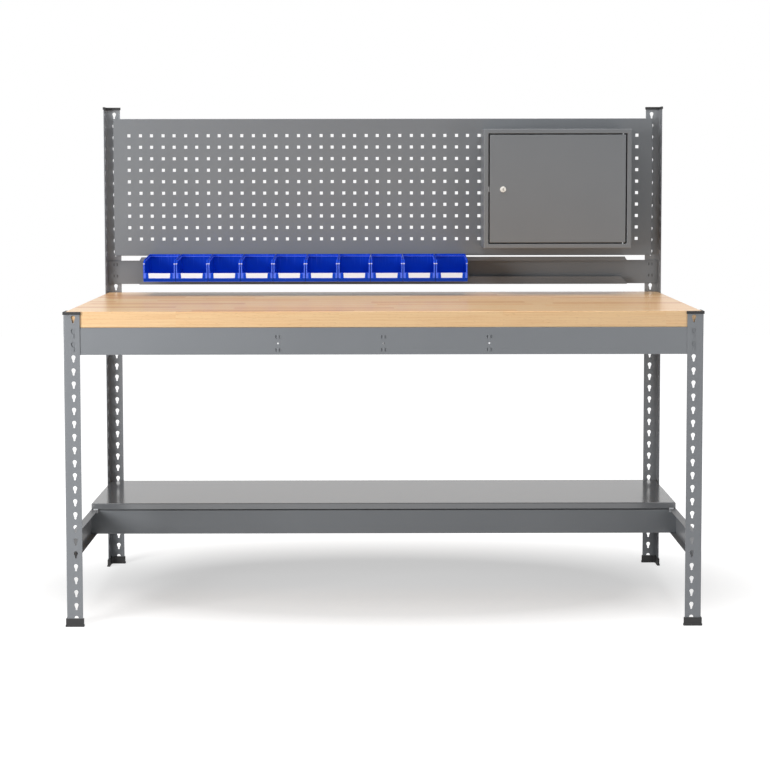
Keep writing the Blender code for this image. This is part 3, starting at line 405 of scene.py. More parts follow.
def makeWood():
    made, tree, shader, place = newMaterial("oiledStaves", wood["middle"])
    across, along, pick = layStaves(tree, place)
    # each stave has its own stretch of grain
    own = changeVector(tree, "ADD", place, changeVector(tree, "MULTIPLY", pick["Color"], wood["jump"]))
    fibre = drawnNoise(tree, own, **wood["fibre"])
    figure = drawnNoise(tree, own, **wood["figure"])
    fleck = drawnNoise(tree, own, **wood["fleck"])
    # the front edge is one long strip, so its tone is the same from end to end
    normal = addNode(tree, "ShaderNodeNewGeometry").outputs["Normal"]
    facing = addNode(tree, "ShaderNodeSeparateXYZ", {"Vector": normal}).outputs
    frontOn = spread(tree, calc(tree, "ABSOLUTE", facing["Y"]), wood["frontFrom"], wood["facingTo"], 0.0, 1.0)
    topTone = calc(tree, "MULTIPLY_ADD", pick["Value"], wood["topTone"], wood["topFrom"])
    staveTone = spread(tree, frontOn, 0.0, 1.0, topTone, wood["frontTone"])
    tone = calc(tree, "MULTIPLY_ADD", aroundMiddle(tree, figure), wood["figureTone"], staveTone)
    ramp = addNode(tree, "ShaderNodeValToRGB", {"Fac": tone})
    stops = ramp.color_ramp.elements
    stops[0].position, stops[0].color = wood["paleAt"], wood["pale"]
    stops[1].color = wood["deep"]
    stops.new(wood["middleAt"]).color = wood["middle"]
    body = mixColour(tree, spread(tree, fibre, *wood["fibreDark"]), ramp.outputs["Color"], wood["deep"])
    body = mixColour(tree, spread(tree, fleck, *wood["fleckDark"]), body, wood["pore"])
    # the cut ends of the staves show their rings
    endOn = spread(tree, calc(tree, "ABSOLUTE", facing["X"]), wood["endFrom"], wood["facingTo"], 0.0, 1.0)
    flat = changeVector(tree, "MULTIPLY", own, (0.0, 1.0, 1.0))
    rings = addNode(
        tree, "ShaderNodeTexWave", {"Vector": flat, **wood["rings"]}, wave_type="RINGS", rings_direction="X",
    ).outputs["Fac"]
    endColour = mixColour(tree, spread(tree, rings, *wood["ringDark"]), wood["middle"], wood["deep"])
    body = mixColour(tree, endOn, body, endColour)
    glue = drawGlue(tree, across, along, frontOn)
    body = mixColour(tree, calc(tree, "MULTIPLY", glue, wood["glueDark"]), body, wood["pore"])
    dust = addGroup(tree, dustGroup, {
        "Vector": place, "Colour": body, "Roughness": wood["rough"], "Amount": wood["dust"],
    })
    tree.links.new(dust["Colour"], shader.inputs["Base Color"])
    change = calc(tree, "MULTIPLY", aroundMiddle(tree, fibre), wood["roughChange"])
    tree.links.new(calc(tree, "ADD", dust["Roughness"], change), shader.inputs["Roughness"])
    shader.inputs["Specular IOR Level"].default_value = wood["level"]
    height = calc(tree, "SUBTRACT", calc(tree, "MULTIPLY", fibre, wood["fibreRelief"]), glue)
    addBump(tree, shader, height, wood["bump"], wood["bumpDepth"])
    return made


materials = {name: makeFinish(name) for name in finishes}
materials.update({name: makePlating(name) for name in plating})
materials["oiledStaves"] = makeWood()
print("finishes made:", len(materials))


# Mesh helpers

meshRules = {
    "weld": 0.00001,
    "flatAngle": 0.5,  # degrees between faces that are made one
    "smoothAngle": 32,
    "normalWeight": 90,
    "edgeAngle": 50,
    "foldAngle": 60,
    "foldLeast": 0.03,  # shorter edges aren't folds
    "foldSegments": 4,
    "wideFace": 2.5,  # a face under this many sheets wide is the sheet's own edge
    "innerShare": 0.25,  # the least an inner fold has of the outer one's radius
    "roundness": 0.5,
}


def newObject(name, work):
    mesh = bpy.data.meshes.new(name)
    work.to_mesh(mesh)
    work.free()
    made = bpy.data.objects.new(name, mesh)
    bpy.context.scene.collection.objects.link(made)
    return made


def settle(made):
    # turns the object and its modifiers into a plain mesh
    bpy.context.view_layer.update()
    graph = bpy.context.evaluated_depsgraph_get()
    mesh = bpy.data.meshes.new_from_object(made.evaluated_get(graph))
    old = made.data
    made.modifiers.clear()
    made.data = mesh
    bpy.data.meshes.remove(old)


def shadeEdges(made, angle=meshRules["smoothAngle"]):
    made.data.shade_smooth()
    made.data.set_sharp_from_angle(angle=math.radians(angle))
    weigh = made.modifiers.new("weigh", "WEIGHTED_NORMAL")
    weigh.keep_sharp = True
    weigh.weight = meshRules["normalWeight"]
    settle(made)


def finishPiece(made, material, body, nodes):
    made.data.materials.clear()
    made.data.materials.append(materials[material])
    for face in made.data.polygons:
        face.material_index = 0
    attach(made, body)
    if nodes:
        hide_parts(*nodes)


def joinFlatFaces(work):
    angle = math.radians(meshRules["flatAngle"])
    bmesh.ops.dissolve_limit(work, angle_limit=angle, verts=work.verts, edges=work.edges)


def weldedCopy(nodeName):
    work = bmesh.new()
    work.from_mesh(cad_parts[nodeName].data)
    bmesh.ops.remove_doubles(work, verts=work.verts, dist=meshRules["weld"])
    joinFlatFaces(work)
    return work


def roundEdges(work, edges, offset, segments):
    profile = meshRules["roundness"]
    bmesh.ops.bevel(work, geom=edges, offset=offset, segments=segments, profile=profile, affect="EDGES")


def longestSide(face):
    return max(edge.calc_length() for edge in face.edges)


def roundFolds(work, sheet, radius):
    # a fold is an edge between two wide faces, outside with the full radius and inside with less
    outer, inner = [], []
    turned, wide = math.radians(meshRules["foldAngle"]), sheet * meshRules["wideFace"]
    for edge in work.edges:
        if len(edge.link_faces) != 2 or edge.calc_length() < meshRules["foldLeast"]:
            continue
        if any(face.calc_area() / longestSide(face) < wide for face in edge.link_faces):
            continue
        angle = edge.calc_face_angle_signed()
        if angle > turned:
            outer.append(edge)
        if angle < -turned:
            inner.append(edge)
    inside = max(radius - sheet, radius * meshRules["innerShare"])
    for edges, offset in ((outer, radius), (inner, inside)):
        roundEdges(work, [edge for edge in edges if edge.is_valid], offset, meshRules["foldSegments"])


def breakEdges(work, width, segments=1, angle=meshRules["edgeAngle"]):
    sharp = []
    for edge in work.edges:
        if len(edge.link_faces) == 2 and edge.calc_face_angle_signed() > math.radians(angle):
            sharp.append(edge)
    roundEdges(work, sharp, width, segments)


def extrudeOutline(work, points, along, low, high):
    # along names the axis that the outline is drawn out on
    place = {
        "X": lambda a, b, c: (c, a, b),
        "Y": lambda a, b, c: (a, c, b),
        "Z": lambda a, b, c: (a, b, c),
    }[along]
    first = [work.verts.new(place(a, b, low)) for a, b in points]
    last = [work.verts.new(place(a, b, high)) for a, b in points]
    faces = [work.faces.new(first), work.faces.new(list(reversed(last)))]
    for i in range(len(points)):
        j = (i + 1) % len(points)
        faces.append(work.faces.new((first[j], first[i], last[i], last[j])))
    bmesh.ops.recalc_face_normals(work, faces=faces)


def arc(centre, radius, start, end, steps):
    angles = [math.radians(start + (end - start) * i / steps) for i in range(steps + 1)]
    return [(centre[0] + radius * math.cos(angle), centre[1] + radius * math.sin(angle)) for angle in angles]


# Pieces of folded sheet keep the solids' shape and gain their folds

foldedSheet = {
    "thick": 0.0015,
    "thin": 0.0012,
    "broadFold": 0.0026,
    "tightFold": 0.0022,
    "edge": 0.00025,
}


def formSheet(nodeName, name, material, body, sheet, fold):
    work = weldedCopy(nodeName)
    roundFolds(work, foldedSheet[sheet], foldedSheet[fold])
    breakEdges(work, foldedSheet["edge"])
    made = newObject(name, work)
    shadeEdges(made)
    finishPiece(made, material, body, [nodeName])


for nodeName, name, coat in (
    ("beam_worktop_front", "frontWorktopBeam", "frameCoat"),
    ("beam_worktop_rear", "rearWorktopBeam", "frameCoat"),
    ("beam_worktop_left", "leftWorktopBeam", "frameCoat"),
    ("beam_worktop_right", "rightWorktopBeam", "frameCoat"),
    ("beam_shelf_front", "frontShelfBeam", "powderCoat"),
    ("beam_shelf_rear", "rearShelfBeam", "powderCoat"),
    ("beam_shelf_left", "leftShelfBeam", "frameCoat"),
    ("beam_shelf_right", "rightShelfBeam", "frameCoat"),
    ("cross_tie", "middleTie", "frameCoat"),
    ("bin_rail", "binRail", "powderCoat"),
):
    formSheet(nodeName, name, coat, "root", "thick", "broadFold")
formSheet("lower_shelf", "lowerShelf", "shelfCoat", "root", "thin", "broadFold")
formSheet("tool_panel", "toolPanel", "powderCoat", "root", "thin", "tightFold")
formSheet("cabinet_body", "cabinetShell", "powderCoat", "root", "thin", "tightFold")
formSheet("cabinet_door", "cabinetDoor", "powderCoat", "door", "thin", "tightFold")
print("sheet pieces formed")


# One tree lays copies of a shape on a grid, and keeps them or cuts them out of a sheet

def makeGridTree(name, cuts):
    tree, into, out = newGroup(name, {
        "Geometry": "Geometry", "Shape": "Object", "Columns": "Int", "Rows": "Int", "Column Step": "Float",
        "Row Step": "Float", "First": "Vector", "Turn": "Float", "Material": "Material",
    }, {"Geometry": "Geometry"}, "GeometryNodeTree")
    across = addNode(tree, "ShaderNodeCombineXYZ", {"X": into["Column Step"]}).outputs[0]
    upward = addNode(tree, "ShaderNodeCombineXYZ", {"Z": into["Row Step"]}).outputs[0]
    points = addNode(tree, "GeometryNodeMeshLine", {
        "Count": into["Columns"], "Start Location": into["First"], "Offset": across,
    }).outputs["Mesh"]
    rows = addNode(tree, "GeometryNodeMeshLine", {"Count": into["Rows"], "Offset": upward}).outputs["Mesh"]
    copies = addNode(tree, "GeometryNodeObjectInfo", {"Object": into["Shape"]}).outputs["Geometry"]
    for line in (rows, points):
        placed = addNode(tree, "GeometryNodeInstanceOnPoints", {"Points": line, "Instance": copies})
        copies = placed.outputs["Instances"]
    angle = addNode(tree, "ShaderNodeCombineXYZ", {"Z": into["Turn"]}).outputs[0]
    turned = addNode(tree, "GeometryNodeTransform", {"Geometry": copies, "Rotation": angle})
    solid = addNode(tree, "GeometryNodeRealizeInstances", {"Geometry": turned.outputs[0]}).outputs[0]
    if cuts:
        cut = addNode(tree, "GeometryNodeMeshBoolean", operation="DIFFERENCE", solver="EXACT")
        tree.links.new(into["Geometry"], cut.inputs["Mesh 1"])
        tree.links.new(solid, cut.inputs["Mesh 2"])
        solid = addNode(tree, "GeometryNodeRealizeInstances", {"Geometry": cut.outputs["Mesh"]}).outputs[0]
    dressed = addNode(tree, "GeometryNodeSetMaterial", {"Geometry": solid, "Material": into["Material"]})
    tree.links.new(dressed.outputs["Geometry"], out["Geometry"])
    return tree


def addGrid(made, tree, values):
    grid = made.modifiers.new(tree.name, "NODES")
    grid.node_group = tree
    for item in tree.interface.items_tree:
        if item.in_out == "INPUT" and item.name in values:
            grid[item.identifier] = values[item.name]


# Pressed ribs and troughs round the slits in the long beams and the rail

press = {
    "slitReach": 0.0052,
    "rows": 2,
    "rowStep": 0.0376,
    "columnStep": 0.304,
    "railStep": 1.784,
    "webFace": 0.3852,
    "railFace": 0.3837,
    "ribHalf": 0.0020,
    "ribProud": 0.0007,
    "ribTall": 0.0104,
    "ribSink": 0.0002,
    "ribSteps": 6,
    "sideReach": 0.0080,
    "sideHalf": 0.0010,
    "sideTall": 0.0084,
    "troughHalf": 0.0021,
    "troughTall": 0.0112,
    "troughDepth": 0.0020,
    "troughSheet": 0.0005,
    "slitShadeHalf": 0.0011,
    "slitShadeTall": 0.0095,
    "slitShadeFrom": 0.0011,
    "slitShadeTo": 0.0014,
    "smoothAngle": 60,
    "holeHeights": {
        "beam_worktop_front": 0.8245,
        "beam_worktop_rear": 0.8245,
        "beam_shelf_rear": 0.2165,
        "bin_rail": 0.9895,
    },
}


def addRib(work, middle, half, tall):
    # a rib with a round back, proud of the face at zero depth
    ends = [(middle + half, press["ribSink"]), (middle - half, press["ribSink"])]
    angles = [math.pi * i / press["ribSteps"] for i in range(press["ribSteps"] + 1)]
    back = [(middle - half * math.cos(angle), -press["ribProud"] * math.sin(angle)) for angle in angles]
    extrudeOutline(work, back + ends, "Z", -tall / 2, tall / 2)


def ribShape():
    work = bmesh.new()
    addRib(work, 0.0, press["ribHalf"], press["ribTall"])
    for side in (-1, 1):
        addRib(work, side * press["sideReach"], press["sideHalf"], press["sideTall"])
    return work


def troughShape():
    # ribs, and behind each slit a trough that is open to the front
    work = ribShape()
    sheet, wall, half = foldedSheet["thick"], press["troughSheet"], press["troughHalf"]
    rear = sheet + press["troughDepth"]
    for side in (-1, 1):
        place = side * press["slitReach"]
        outline = [
            (place - half, sheet), (place - half, rear), (place + half, rear), (place + half, sheet),
            (place + half - wall, sheet), (place + half - wall, rear - wall),
            (place - half + wall, rear - wall), (place - half + wall, sheet),
        ]
        extrudeOutline(work, outline, "Z", -press["troughTall"] / 2, press["troughTall"] / 2)
    return work


def floorShape():
    # black plates inside two slits, painted shade in the slits
    work = bmesh.new()
    half = press["slitShadeHalf"]
    for side in (-1, 1):
        place = side * press["slitReach"]
        corners = [
            (place - half, press["slitShadeFrom"]), (place + half, press["slitShadeFrom"]),
            (place + half, press["slitShadeTo"]), (place - half, press["slitShadeTo"]),
        ]
        extrudeOutline(work, corners, "Z", -press["slitShadeTall"] / 2, press["slitShadeTall"] / 2)
    return work


def pressRow(name, nodeName, shape, columns, step, face, material, turn=0.0):
    # the slits sit in pairs above and below a round hole
    lowest = press["holeHeights"][nodeName] - press["rowStep"] / 2
    made = newObject(name, bmesh.new())
    addGrid(made, spreadTree, {
        "Shape": shape, "Columns": columns, "Rows": press["rows"], "Column Step": step,
        "Row Step": press["rowStep"], "First": (-(columns - 1) * step / 2, face, lowest),
        "Turn": turn, "Material": materials[material],
    })
    settle(made)
    shadeEdges(made, press["smoothAngle"])
    finishPiece(made, material, "root", [])


spreadTree = makeGridTree("spreadShapes", False)
troughs = newObject("troughShape", troughShape())
ribs = newObject("ribShape", ribShape())
slitShades = newObject("floorShape", floorShape())
for nodeName, name, material, turn in (
    ("beam_worktop_front", "frontBeamPress", "frameCoat", 0.0),
    ("beam_worktop_rear", "rearBeamPress", "frameCoat", math.pi),
    ("beam_shelf_rear", "shelfBeamPress", "powderCoat", math.pi),
):
    pressRow(name, nodeName, troughs, 3, press["columnStep"], -press["webFace"], material, turn)
# the rail's slits get black plates, painted shade
for name, shape, material in (("railPress", ribs, "powderCoat"), ("railFloors", slitShades, "blackPlastic")):
    pressRow(name, "bin_rail", shape, 2, press["railStep"], press["railFace"], material)
for shape in (troughs, ribs, slitShades):
    bpy.data.objects.remove(shape)
print("clusters pressed")


# Clips that hold the shelf on its front beam

clip = {
    "width": 0.014,
    "low": 0.2525,
    "high": 0.2655,
    "sheet": 0.0012,
    "gap": 0.0002,
    "lip": 0.0045,
    "place": 0.9005,
    "edge": 0.0003,
    "edgeSegments": 2,
}


def makeClip(name, side):
    middle, half = side * clip["place"], clip["width"] / 2
    rear = -clip["gap"]
    front = rear - clip["sheet"]
    tip = rear - clip["lip"]
    low, high, floor = clip["low"], clip["high"], clip["low"] + clip["sheet"]
    work = bmesh.new()
    outline = [(tip, low), (tip, floor), (front, floor), (front, high), (rear, high), (rear, low)]
    extrudeOutline(work, outline, "X", middle - half, middle + half)
    breakEdges(work, clip["edge"], clip["edgeSegments"])
    made = newObject(name, work)
    shadeEdges(made)
    finishPiece(made, "zinc", "root", [])


makeClip("leftClip", -1)
makeClip("rightClip", 1)
print("clips made")


# Posts: an angle with a rounded corner, punched with keyholes

post = {
    "sheet": 0.002,
    "foldRadius": 0.0036,
    "foldSteps": 5,
    "pitch": 0.038,
    "firstHeight": 0.0257,
    "inset": 0.028,
    "topRoom": 0.004,
    "headRadius": 0.006,
    "headSteps": 18,
    "neckAngle": 25,
    "neckEnd": 0.0093,
    "slotRadius": 0.00275,
    "slotEnd": 0.0155,
    "slotSteps": 8,
    "cutReach": 0.006,
    "edge": 0.0002,
    "edgeAngle": 70,
}


def keyholeCutter():
    # a round head that tapers to the slot below it
    head, slot, neck = post["headRadius"], post["slotRadius"], post["neckAngle"]
    low = slot - post["slotEnd"]
    points = arc((0, 0), head, -neck, 180 + neck, post["headSteps"]) + [(-slot, -post["neckEnd"])]
    points += arc((0, low), slot, 180, 360, post["slotSteps"]) + [(slot, -post["neckEnd"])]
    work = bmesh.new()
    extrudeOutline(work, points, "Y", -post["cutReach"], post["cutReach"])
    return newObject("keyholeCutter", work)


def makePost(nodeName, name):
    # the post is made with its corner at zero, punched, and then put in its place
    low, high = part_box(nodeName)
    middle = (low + high) / 2
    turnX = 1 if middle.x < 0 else -1
    turnY = 1 if middle.y < 0 else -1
    flange = high.x - low.x
    radius, sheet, steps = post["foldRadius"], post["sheet"], post["foldSteps"]
    outline = arc((radius, radius), radius, 180, 270, steps) + [(flange, 0), (flange, sheet)]
    outline += arc((radius, radius), radius - sheet, 270, 180, steps) + [(sheet, flange), (0, flange)]
    work = bmesh.new()
    extrudeOutline(work, outline, "Z", low.z, high.z)
    made = newObject(name, work)
    room = high.z - post["topRoom"] - post["headRadius"] - post["firstHeight"]
    for turn in (0.0, math.pi / 2):
        addGrid(made, punchTree, {
            "Shape": keyhole, "Columns": 1, "Rows": int(room / post["pitch"]) + 1, "Column Step": 0.0,
            "Row Step": post["pitch"], "First": (post["inset"], 0.0, post["firstHeight"]),
            "Turn": turn, "Material": materials["frameCoat"],
        })
    settle(made)
    work = bmesh.new()
    work.from_mesh(made.data)
    joinFlatFaces(work)
    breakEdges(work, post["edge"], angle=post["edgeAngle"])
    corner = (low.x if turnX > 0 else high.x, low.y if turnY > 0 else high.y, 0)
    shape = Matrix.Translation(corner) @ Matrix.Diagonal((turnX, turnY, 1, 1))
    bmesh.ops.transform(work, matrix=shape, verts=work.verts)
    if turnX * turnY < 0:
        bmesh.ops.reverse_faces(work, faces=work.faces)
    work.to_mesh(made.data)
    work.free()
    shadeEdges(made)
    finishPiece(made, "frameCoat", "root", [nodeName])


punchTree = makeGridTree("punchedHoles", True)
keyhole = keyholeCutter()
for end in ("front", "rear"):
    for side in ("left", "right"):
        makePost(f"post_{end}_{side}", f"{end}{side.title()}Post")
bpy.data.objects.remove(keyhole)
print("posts punched")


# Feet and caps of the posts

moulding = {"footEdge": 0.0007, "capEdge": 0.0005, "segments": 2, "edgeAngle": 40}


def formMoulding(nodeName, name, material, body, edge, segments, angle=moulding["edgeAngle"]):
    work = weldedCopy(nodeName)
    breakEdges(work, edge, segments, angle)
    made = newObject(name, work)
    shadeEdges(made)
    finishPiece(made, material, body, [nodeName])


for end in ("front", "rear"):
    for side in ("left", "right"):
        for start, kind, edge in (("foot", "Foot", "footEdge"), ("post_cap", "Cap", "capEdge")):
            formMoulding(
                f"{start}_{end}_{side}", f"{end}{side.title()}{kind}", "blackPlastic", "root",
                moulding[edge], moulding["segments"],
            )
print("feet and caps made")


# Worktop

board = {"easedEdge": 0.0018, "segments": 3}


def makeWorktop():
    low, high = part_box("worktop")
    work = bmesh.new()
    bmesh.ops.create_cube(work, size=1.0)
    bmesh.ops.scale(work, vec=high - low, verts=work.verts)
    bmesh.ops.translate(work, vec=(low + high) / 2, verts=work.verts)
    roundEdges(work, work.edges[:], board["easedEdge"], board["segments"])
    made = newObject("woodenTop", work)
    shadeEdges(made)
    finishPiece(made, "oiledStaves", "root", ["worktop"])


makeWorktop()
print("worktop made")


# Bins and their labels

binSizes = {
    "count": 10,
    "edge": 0.0007,
    "edgeSegments": 2,
    "edgeAngle": 25,
    "labelEdge": 0.0001,
    "labelSegments": 1,
    "labelPlay": 0.0003,
    "wall": 0.002,
    "depth": 0.150,
    "height": 0.082,
    "frontHeight": 0.0285,
    "shoulderHeight": 0.0705,
    "shoulderDepth": 0.016,
}

rims = {
    "edge": 0.0004,
    "edgeSegments": 2,
    "sink": 0.00045,  # how far a light edge goes into the bin
    "ledgeDrop": 0.0058,
    "ledgeHeight": 0.0026,
    "ledgeDepth": 0.0018,
    "jamb": 0.0055,
    "jambHeight": 0.058,
    "ribWidth": 0.0024,
    "ribDepth": 0.0008,
    "wingFrom": 0.0385,
    "wingLow": 0.0115,
    "footDepth": 0.144,
    "footHeight": 0.0012,
    "footReach": 0.0018,
    "capHeight": 0.0038,
    "capProud": 0.0012,
    "capReach": 0.0022,
    "capEdge": 0.0010,
    "capSegments": 3,
}


def addBlock(work, low, high):
    corners = [(low[0], low[2]), (high[0], low[2]), (high[0], high[2]), (low[0], high[2])]
    extrudeOutline(work, corners, "Y", low[1], high[1])


def finishRim(work, name, material, index, spot, edge, segments):
    # the rims are made with the bin's lower rear middle at zero, and then put in its place
    breakEdges(work, edge, segments, binSizes["edgeAngle"])
    bmesh.ops.translate(work, vec=spot, verts=work.verts)
    made = newObject(f"{name}{index:02d}", work)
    shadeEdges(made)
    finishPiece(made, material, f"bin_{index:02d}", [])


def makeRimHighlights(index, spot, half):
    # lighter blue strips on the moulding, painted highlights: the ledge under the rim, the jambs' ribs, the
    # wings and the foot
    work = bmesh.new()
    wall, reach, sink = binSizes["wall"], rims["ledgeDepth"], rims["sink"]
    inner = half - wall
    top = binSizes["height"] - rims["ledgeDrop"]
    low = top - rims["ledgeHeight"]
    addBlock(work, (-inner, -wall - reach, low), (inner, -wall + sink, top))
    front = -binSizes["depth"]
    fallen = binSizes["height"] - binSizes["shoulderHeight"]
    slope = fallen / (binSizes["depth"] - binSizes["shoulderDepth"])
    near = front + binSizes["shoulderDepth"] + wall
    fall = slope * -near
    rib = rims["ribWidth"] / 2
    proud, sunk = front - rims["ribDepth"], front + sink
    for side in (-1, 1):
        ledge = sorted((side * (inner + sink), side * (inner - reach)))
        outline = [(near, low - fall), (-reach, low), (-reach, top), (near, top - fall)]
        extrudeOutline(work, outline, "X", ledge[0], ledge[1])
        middle = side * (half - rims["jamb"] / 2)
        lowest, highest = binSizes["frontHeight"], rims["jambHeight"]
        addBlock(work, (middle - rib, proud, lowest), (middle + rib, sunk, highest))
        wing = sorted((side * rims["wingFrom"], side * (half - rib)))
        addBlock(work, (wing[0], proud, rims["wingLow"]), (wing[1], sunk, binSizes["frontHeight"]))
    foot = -rims["footDepth"]
    addBlock(work, (-half, foot - rims["ribDepth"], 0), (half, foot + rims["footReach"], rims["footHeight"]))
    finishRim(work, "binRims", "blueHighlight", index, spot, rims["edge"], rims["edgeSegments"])


def makeCapHighlights(index, spot, half):
    # the jambs' rounded tops are pale blue blocks, a painted highlight
    work = bmesh.new()
    near, far = -binSizes["depth"] - rims["capProud"], -binSizes["depth"] + rims["capReach"]
    middle, tall = rims["jambHeight"], rims["capHeight"] / 2
    for side in (-1, 1):
        cap = sorted((side * (half - rims["jamb"]), side * half))
        addBlock(work, (cap[0], near, middle - tall), (cap[1], far, middle + tall))
    finishRim(work, "binCaps", "blueCapHighlight", index, spot, rims["capEdge"], rims["capSegments"])


def makeBin(index):
    nodeName = f"bin_{index:02d}"
    low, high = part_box(nodeName)
    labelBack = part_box(f"bin_label_{index:02d}")[1].y
    formMoulding(
        nodeName, f"binTray{index:02d}", "bluePlastic", nodeName,
        binSizes["edge"], binSizes["edgeSegments"], binSizes["edgeAngle"],
    )
    formMoulding(
        f"bin_label_{index:02d}", f"binCard{index:02d}", "labelCard", nodeName,
        binSizes["labelEdge"], binSizes["labelSegments"],
    )
    spot = Vector(((low.x + high.x) / 2, labelBack + binSizes["labelPlay"] + binSizes["depth"], low.z))
    half = (high.x - low.x) / 2
    makeRimHighlights(index, spot, half)
    makeCapHighlights(index, spot, half)


for index in range(1, binSizes["count"] + 1):
    makeBin(index)
print("bins made")


# Lock and hinge pins

lock = {
    "steps": 64,
    "pole": 0.000001,
    "faceRadius": 0.0095,
    "faceDepth": 0.0022,
    "faceBevel": 0.0012,
    "rimBevel": 0.0003,
    "bodyRadius": 0.008,
    "boreRadius": 0.0061,
    "plugRadius": 0.0058,
    "plugBevel": 0.0006,
    "keyWidth": 0.0022,
    "keyLength": 0.0085,
    "keyDepth": 0.0035,
    "keyShadeFrom": 0.0004,
    "pinRadius": 0.0025,
    "pinDome": 0.0008,
    "edgeSegments": 1,
}


def turnProfile(name, profile, axisPoint, along):
    # profile points are radius and place along the axis, and the shape is closed
    work = bmesh.new()
    verts = [work.verts.new((radius, 0, height)) for radius, height in profile]
    edges = [work.edges.new((verts[i], verts[(i + 1) % len(verts)])) for i in range(len(verts))]
    bmesh.ops.spin(
        work, geom=verts + edges, cent=(0, 0, 0), axis=(0, 0, 1), angle=2 * math.pi, steps=lock["steps"],
        use_merge=True, use_duplicate=False,
    )
    bmesh.ops.remove_doubles(work, verts=work.verts, dist=lock["pole"])
    bmesh.ops.recalc_face_normals(work, faces=work.faces)
    turn = Matrix.Identity(4) if along == "Z" else Matrix.Rotation(-math.pi / 2, 4, "X")
    bmesh.ops.transform(work, matrix=Matrix.Translation(axisPoint) @ turn, verts=work.verts)
    return newObject(name, work)


def makeHousing():
    low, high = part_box("lock_housing")
    depth = high.y - low.y
    middle = (low + high) / 2
    face, body, bore = lock["faceRadius"], lock["bodyRadius"], lock["boreRadius"]
    profile = [
        (bore, 0.0), (face - lock["faceBevel"], 0.0), (face - lock["rimBevel"], lock["rimBevel"]),
        (face, lock["faceBevel"]), (face, lock["faceDepth"]), (body, lock["faceDepth"]),
        (body, depth), (bore, depth),
    ]
    made = turnProfile("lockHousing", profile, (middle.x, low.y, middle.z), "Y")
    shadeEdges(made)
    finishPiece(made, "nickel", "door", ["lock_housing"])


def makeKeySlot(name, middle, start, end):
    half, tall = lock["keyWidth"] / 2, lock["keyLength"] / 2
    outline = [
        (middle.x - half, middle.z - tall), (middle.x + half, middle.z - tall),
        (middle.x + half, middle.z + tall), (middle.x - half, middle.z + tall),
    ]
    work = bmesh.new()
    extrudeOutline(work, outline, "Y", start, end)
    return newObject(name, work)


def makePlug():
    low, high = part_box("lock_plug")
    depth = high.y - low.y
    middle = (low + high) / 2
    radius, bevel = lock["plugRadius"], lock["plugBevel"]
    profile = [(0.0, 0.0), (radius - bevel, 0.0), (radius, bevel), (radius, depth), (0.0, depth)]
    made = turnProfile("lockPlug", profile, (middle.x, low.y, middle.z), "Y")
    cutter = makeKeySlot("keyway", middle, low.y - lock["keyDepth"], low.y + lock["keyDepth"])
    cut = made.modifiers.new("keyway", "BOOLEAN")
    cut.object = cutter
    settle(made)
    bpy.data.objects.remove(cutter)
    shadeEdges(made)
    finishPiece(made, "nickel", "lock", ["lock_plug"])
    # the slot is filled almost to the plug's face with a black block, painted shade in the keyway
    keywayShade = makeKeySlot("keyWards", middle, low.y + lock["keyShadeFrom"], low.y + lock["keyDepth"])
    shadeEdges(keywayShade)
    finishPiece(keywayShade, "blackPlastic", "lock", [])


def makePin(nodeName, name):
    low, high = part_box(nodeName)
    middle = (low + high) / 2
    length = high.z - low.z
    radius, dome = lock["pinRadius"], lock["pinDome"]
    profile = [
        (0.0, 0.0), (radius - dome, 0.0), (radius, dome), (radius, length - dome),
        (radius - dome, length), (0.0, length),
    ]
    made = turnProfile(name, profile, (middle.x, middle.y, low.z), "Z")
    shadeEdges(made)
    finishPiece(made, "zinc", "root", [nodeName])


makeHousing()
makePlug()
makePin("hinge_pin_top", "upperHingePin")
makePin("hinge_pin_bottom", "lowerHingePin")
for nodeName, name, body in (
    ("lock_nut", "lockNut", "door"),
    ("lock_cam", "lockCam", "lock"),
    ("cam_screw", "camScrew", "lock"),
    ("lock_keeper", "lockKeeper", "root"),
    ("cabinet_strap_left", "leftStrap", "root"),
    ("cabinet_strap_right", "rightStrap", "root"),
):
    formMoulding(nodeName, name, "zinc", body, foldedSheet["edge"], lock["edgeSegments"])
print("lock and pins made")


# Studio

studio = {
    "floorSize": 16.0,
    "floorCells": 4,
    "shadowMiddle": (0.0, 0.08),
    "shadowReach": (1.40, 0.64),
    "whiteFrom": 0.55,
    "whiteTo": 1.15,
    "floorTone": 0.58,
    "floorGlow": 0.48,
    "floorSheen": 0.45,
    "sheenFrom": -2.5,
    "sheenTo": -0.5,
    "floorRough": 0.9,
    "ambient": 0.15,
    "frontGlow": 0.30,
    "frontFrom": -0.6,
    "frontTo": 0.3,
    "lamps": {
        "keyLamp": {"place": (-2.7, -2.5, 1.35), "aim": (0.0, 0.0, 0.7), "size": (1.6, 1.4), "power": 75.0},
        "sideLamp": {"place": (1.9, -2.3, 0.8), "aim": (0.5, 0.0, 0.7), "size": (1.2, 1.0), "power": 10.0},
        "topLamp": {"place": (0.0, -0.6, 3.4), "aim": (0.0, 0.0, 0.6), "size": (3.2, 1.6), "power": 58.0},
    },
}


def seenLevel(tree, straight, mirrored):
    # what the camera sees straight or through a piece, plus what a glossy piece mirrors
    path = addNode(tree, "ShaderNodeLightPath").outputs
    clear = calc(tree, "MAXIMUM", path["Is Camera Ray"], path["Is Transmission Ray"])
    shown = calc(tree, "MULTIPLY", clear, straight)
    return calc(tree, "MULTIPLY_ADD", path["Is Glossy Ray"], mirrored, shown), path


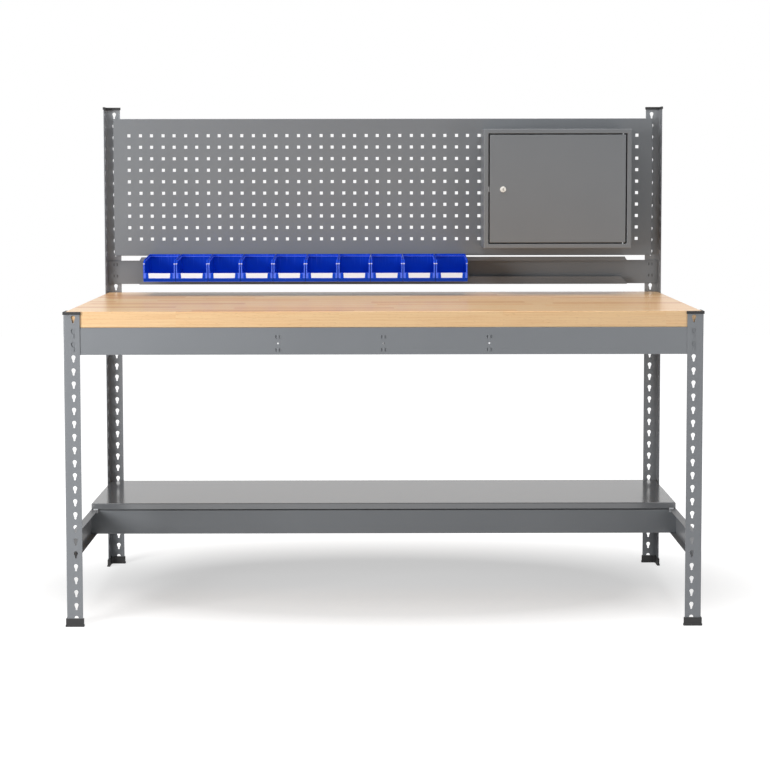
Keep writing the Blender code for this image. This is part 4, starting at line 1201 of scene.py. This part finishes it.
def makeWorld():
    world = bpy.data.worlds.new("studio")
    world.use_nodes = True
    bpy.context.scene.world = world
    tree = world.node_tree
    # the room is white behind the object and grey on the side of the camera
    depth = axisOf(tree, addNode(tree, "ShaderNodeTexCoord").outputs["Generated"], "Y")
    room = spread(tree, depth, studio["frontFrom"], studio["frontTo"], studio["frontGlow"], 1.0)
    shown, path = seenLevel(tree, 1.0, room)
    level = calc(tree, "MULTIPLY_ADD", path["Is Diffuse Ray"], studio["ambient"], shown)
    back = tree.nodes["Background"]
    back.inputs["Color"].default_value = (1, 1, 1, 1)
    tree.links.new(level, back.inputs["Strength"])


def makeFloor():
    work = bmesh.new()
    cells, half = studio["floorCells"], studio["floorSize"] / 2
    bmesh.ops.create_grid(work, x_segments=cells, y_segments=cells, size=half)
    floor = newObject("studioFloor", work)
    material = bpy.data.materials.new("studioFloor")
    material.use_nodes = True
    tree = material.node_tree
    shader = tree.nodes["Principled BSDF"]
    tone = studio["floorTone"]
    shader.inputs["Base Color"].default_value = (tone, tone, tone, 1)
    shader.inputs["Roughness"].default_value = studio["floorRough"]
    shader.inputs["Specular IOR Level"].default_value = 0.0
    place = addNode(tree, "ShaderNodeTexCoord").outputs["Object"]
    # the floor keeps the object's shadow in an oval under it and is white further out
    moved = changeVector(tree, "SUBTRACT", place, (*studio["shadowMiddle"], 0))
    scaled = changeVector(tree, "DIVIDE", moved, (*studio["shadowReach"], 1))
    away = addNode(tree, "ShaderNodeVectorMath", {0: scaled}, operation="LENGTH").outputs["Value"]
    glow = spread(tree, away, studio["whiteFrom"], studio["whiteTo"], studio["floorGlow"], 1.0)
    # the floor in front of the object mirrors as the grey room does
    depth = axisOf(tree, place, "Y")
    sheen = spread(tree, depth, studio["sheenFrom"], studio["sheenTo"], studio["floorSheen"], 1.0)
    strength = seenLevel(tree, glow, calc(tree, "MULTIPLY", glow, sheen))[0]
    shader.inputs["Emission Color"].default_value = (1, 1, 1, 1)
    tree.links.new(strength, shader.inputs["Emission Strength"])
    floor.data.materials.append(material)


def makeLamps():
    for name, values in studio["lamps"].items():
        data = bpy.data.lights.new(name, "AREA")
        data.shape = "RECTANGLE"
        data.size, data.size_y = values["size"]
        data.energy = values["power"]
        lamp = bpy.data.objects.new(name, data)
        lamp.location = values["place"]
        direction = Vector(values["aim"]) - Vector(values["place"])
        lamp.rotation_euler = direction.to_track_quat("-Z", "Y").to_euler()
        bpy.context.scene.collection.objects.link(lamp)


makeWorld()
makeFloor()
makeLamps()
bpy.context.scene.view_settings.view_transform = "Standard"
print("studio lit")
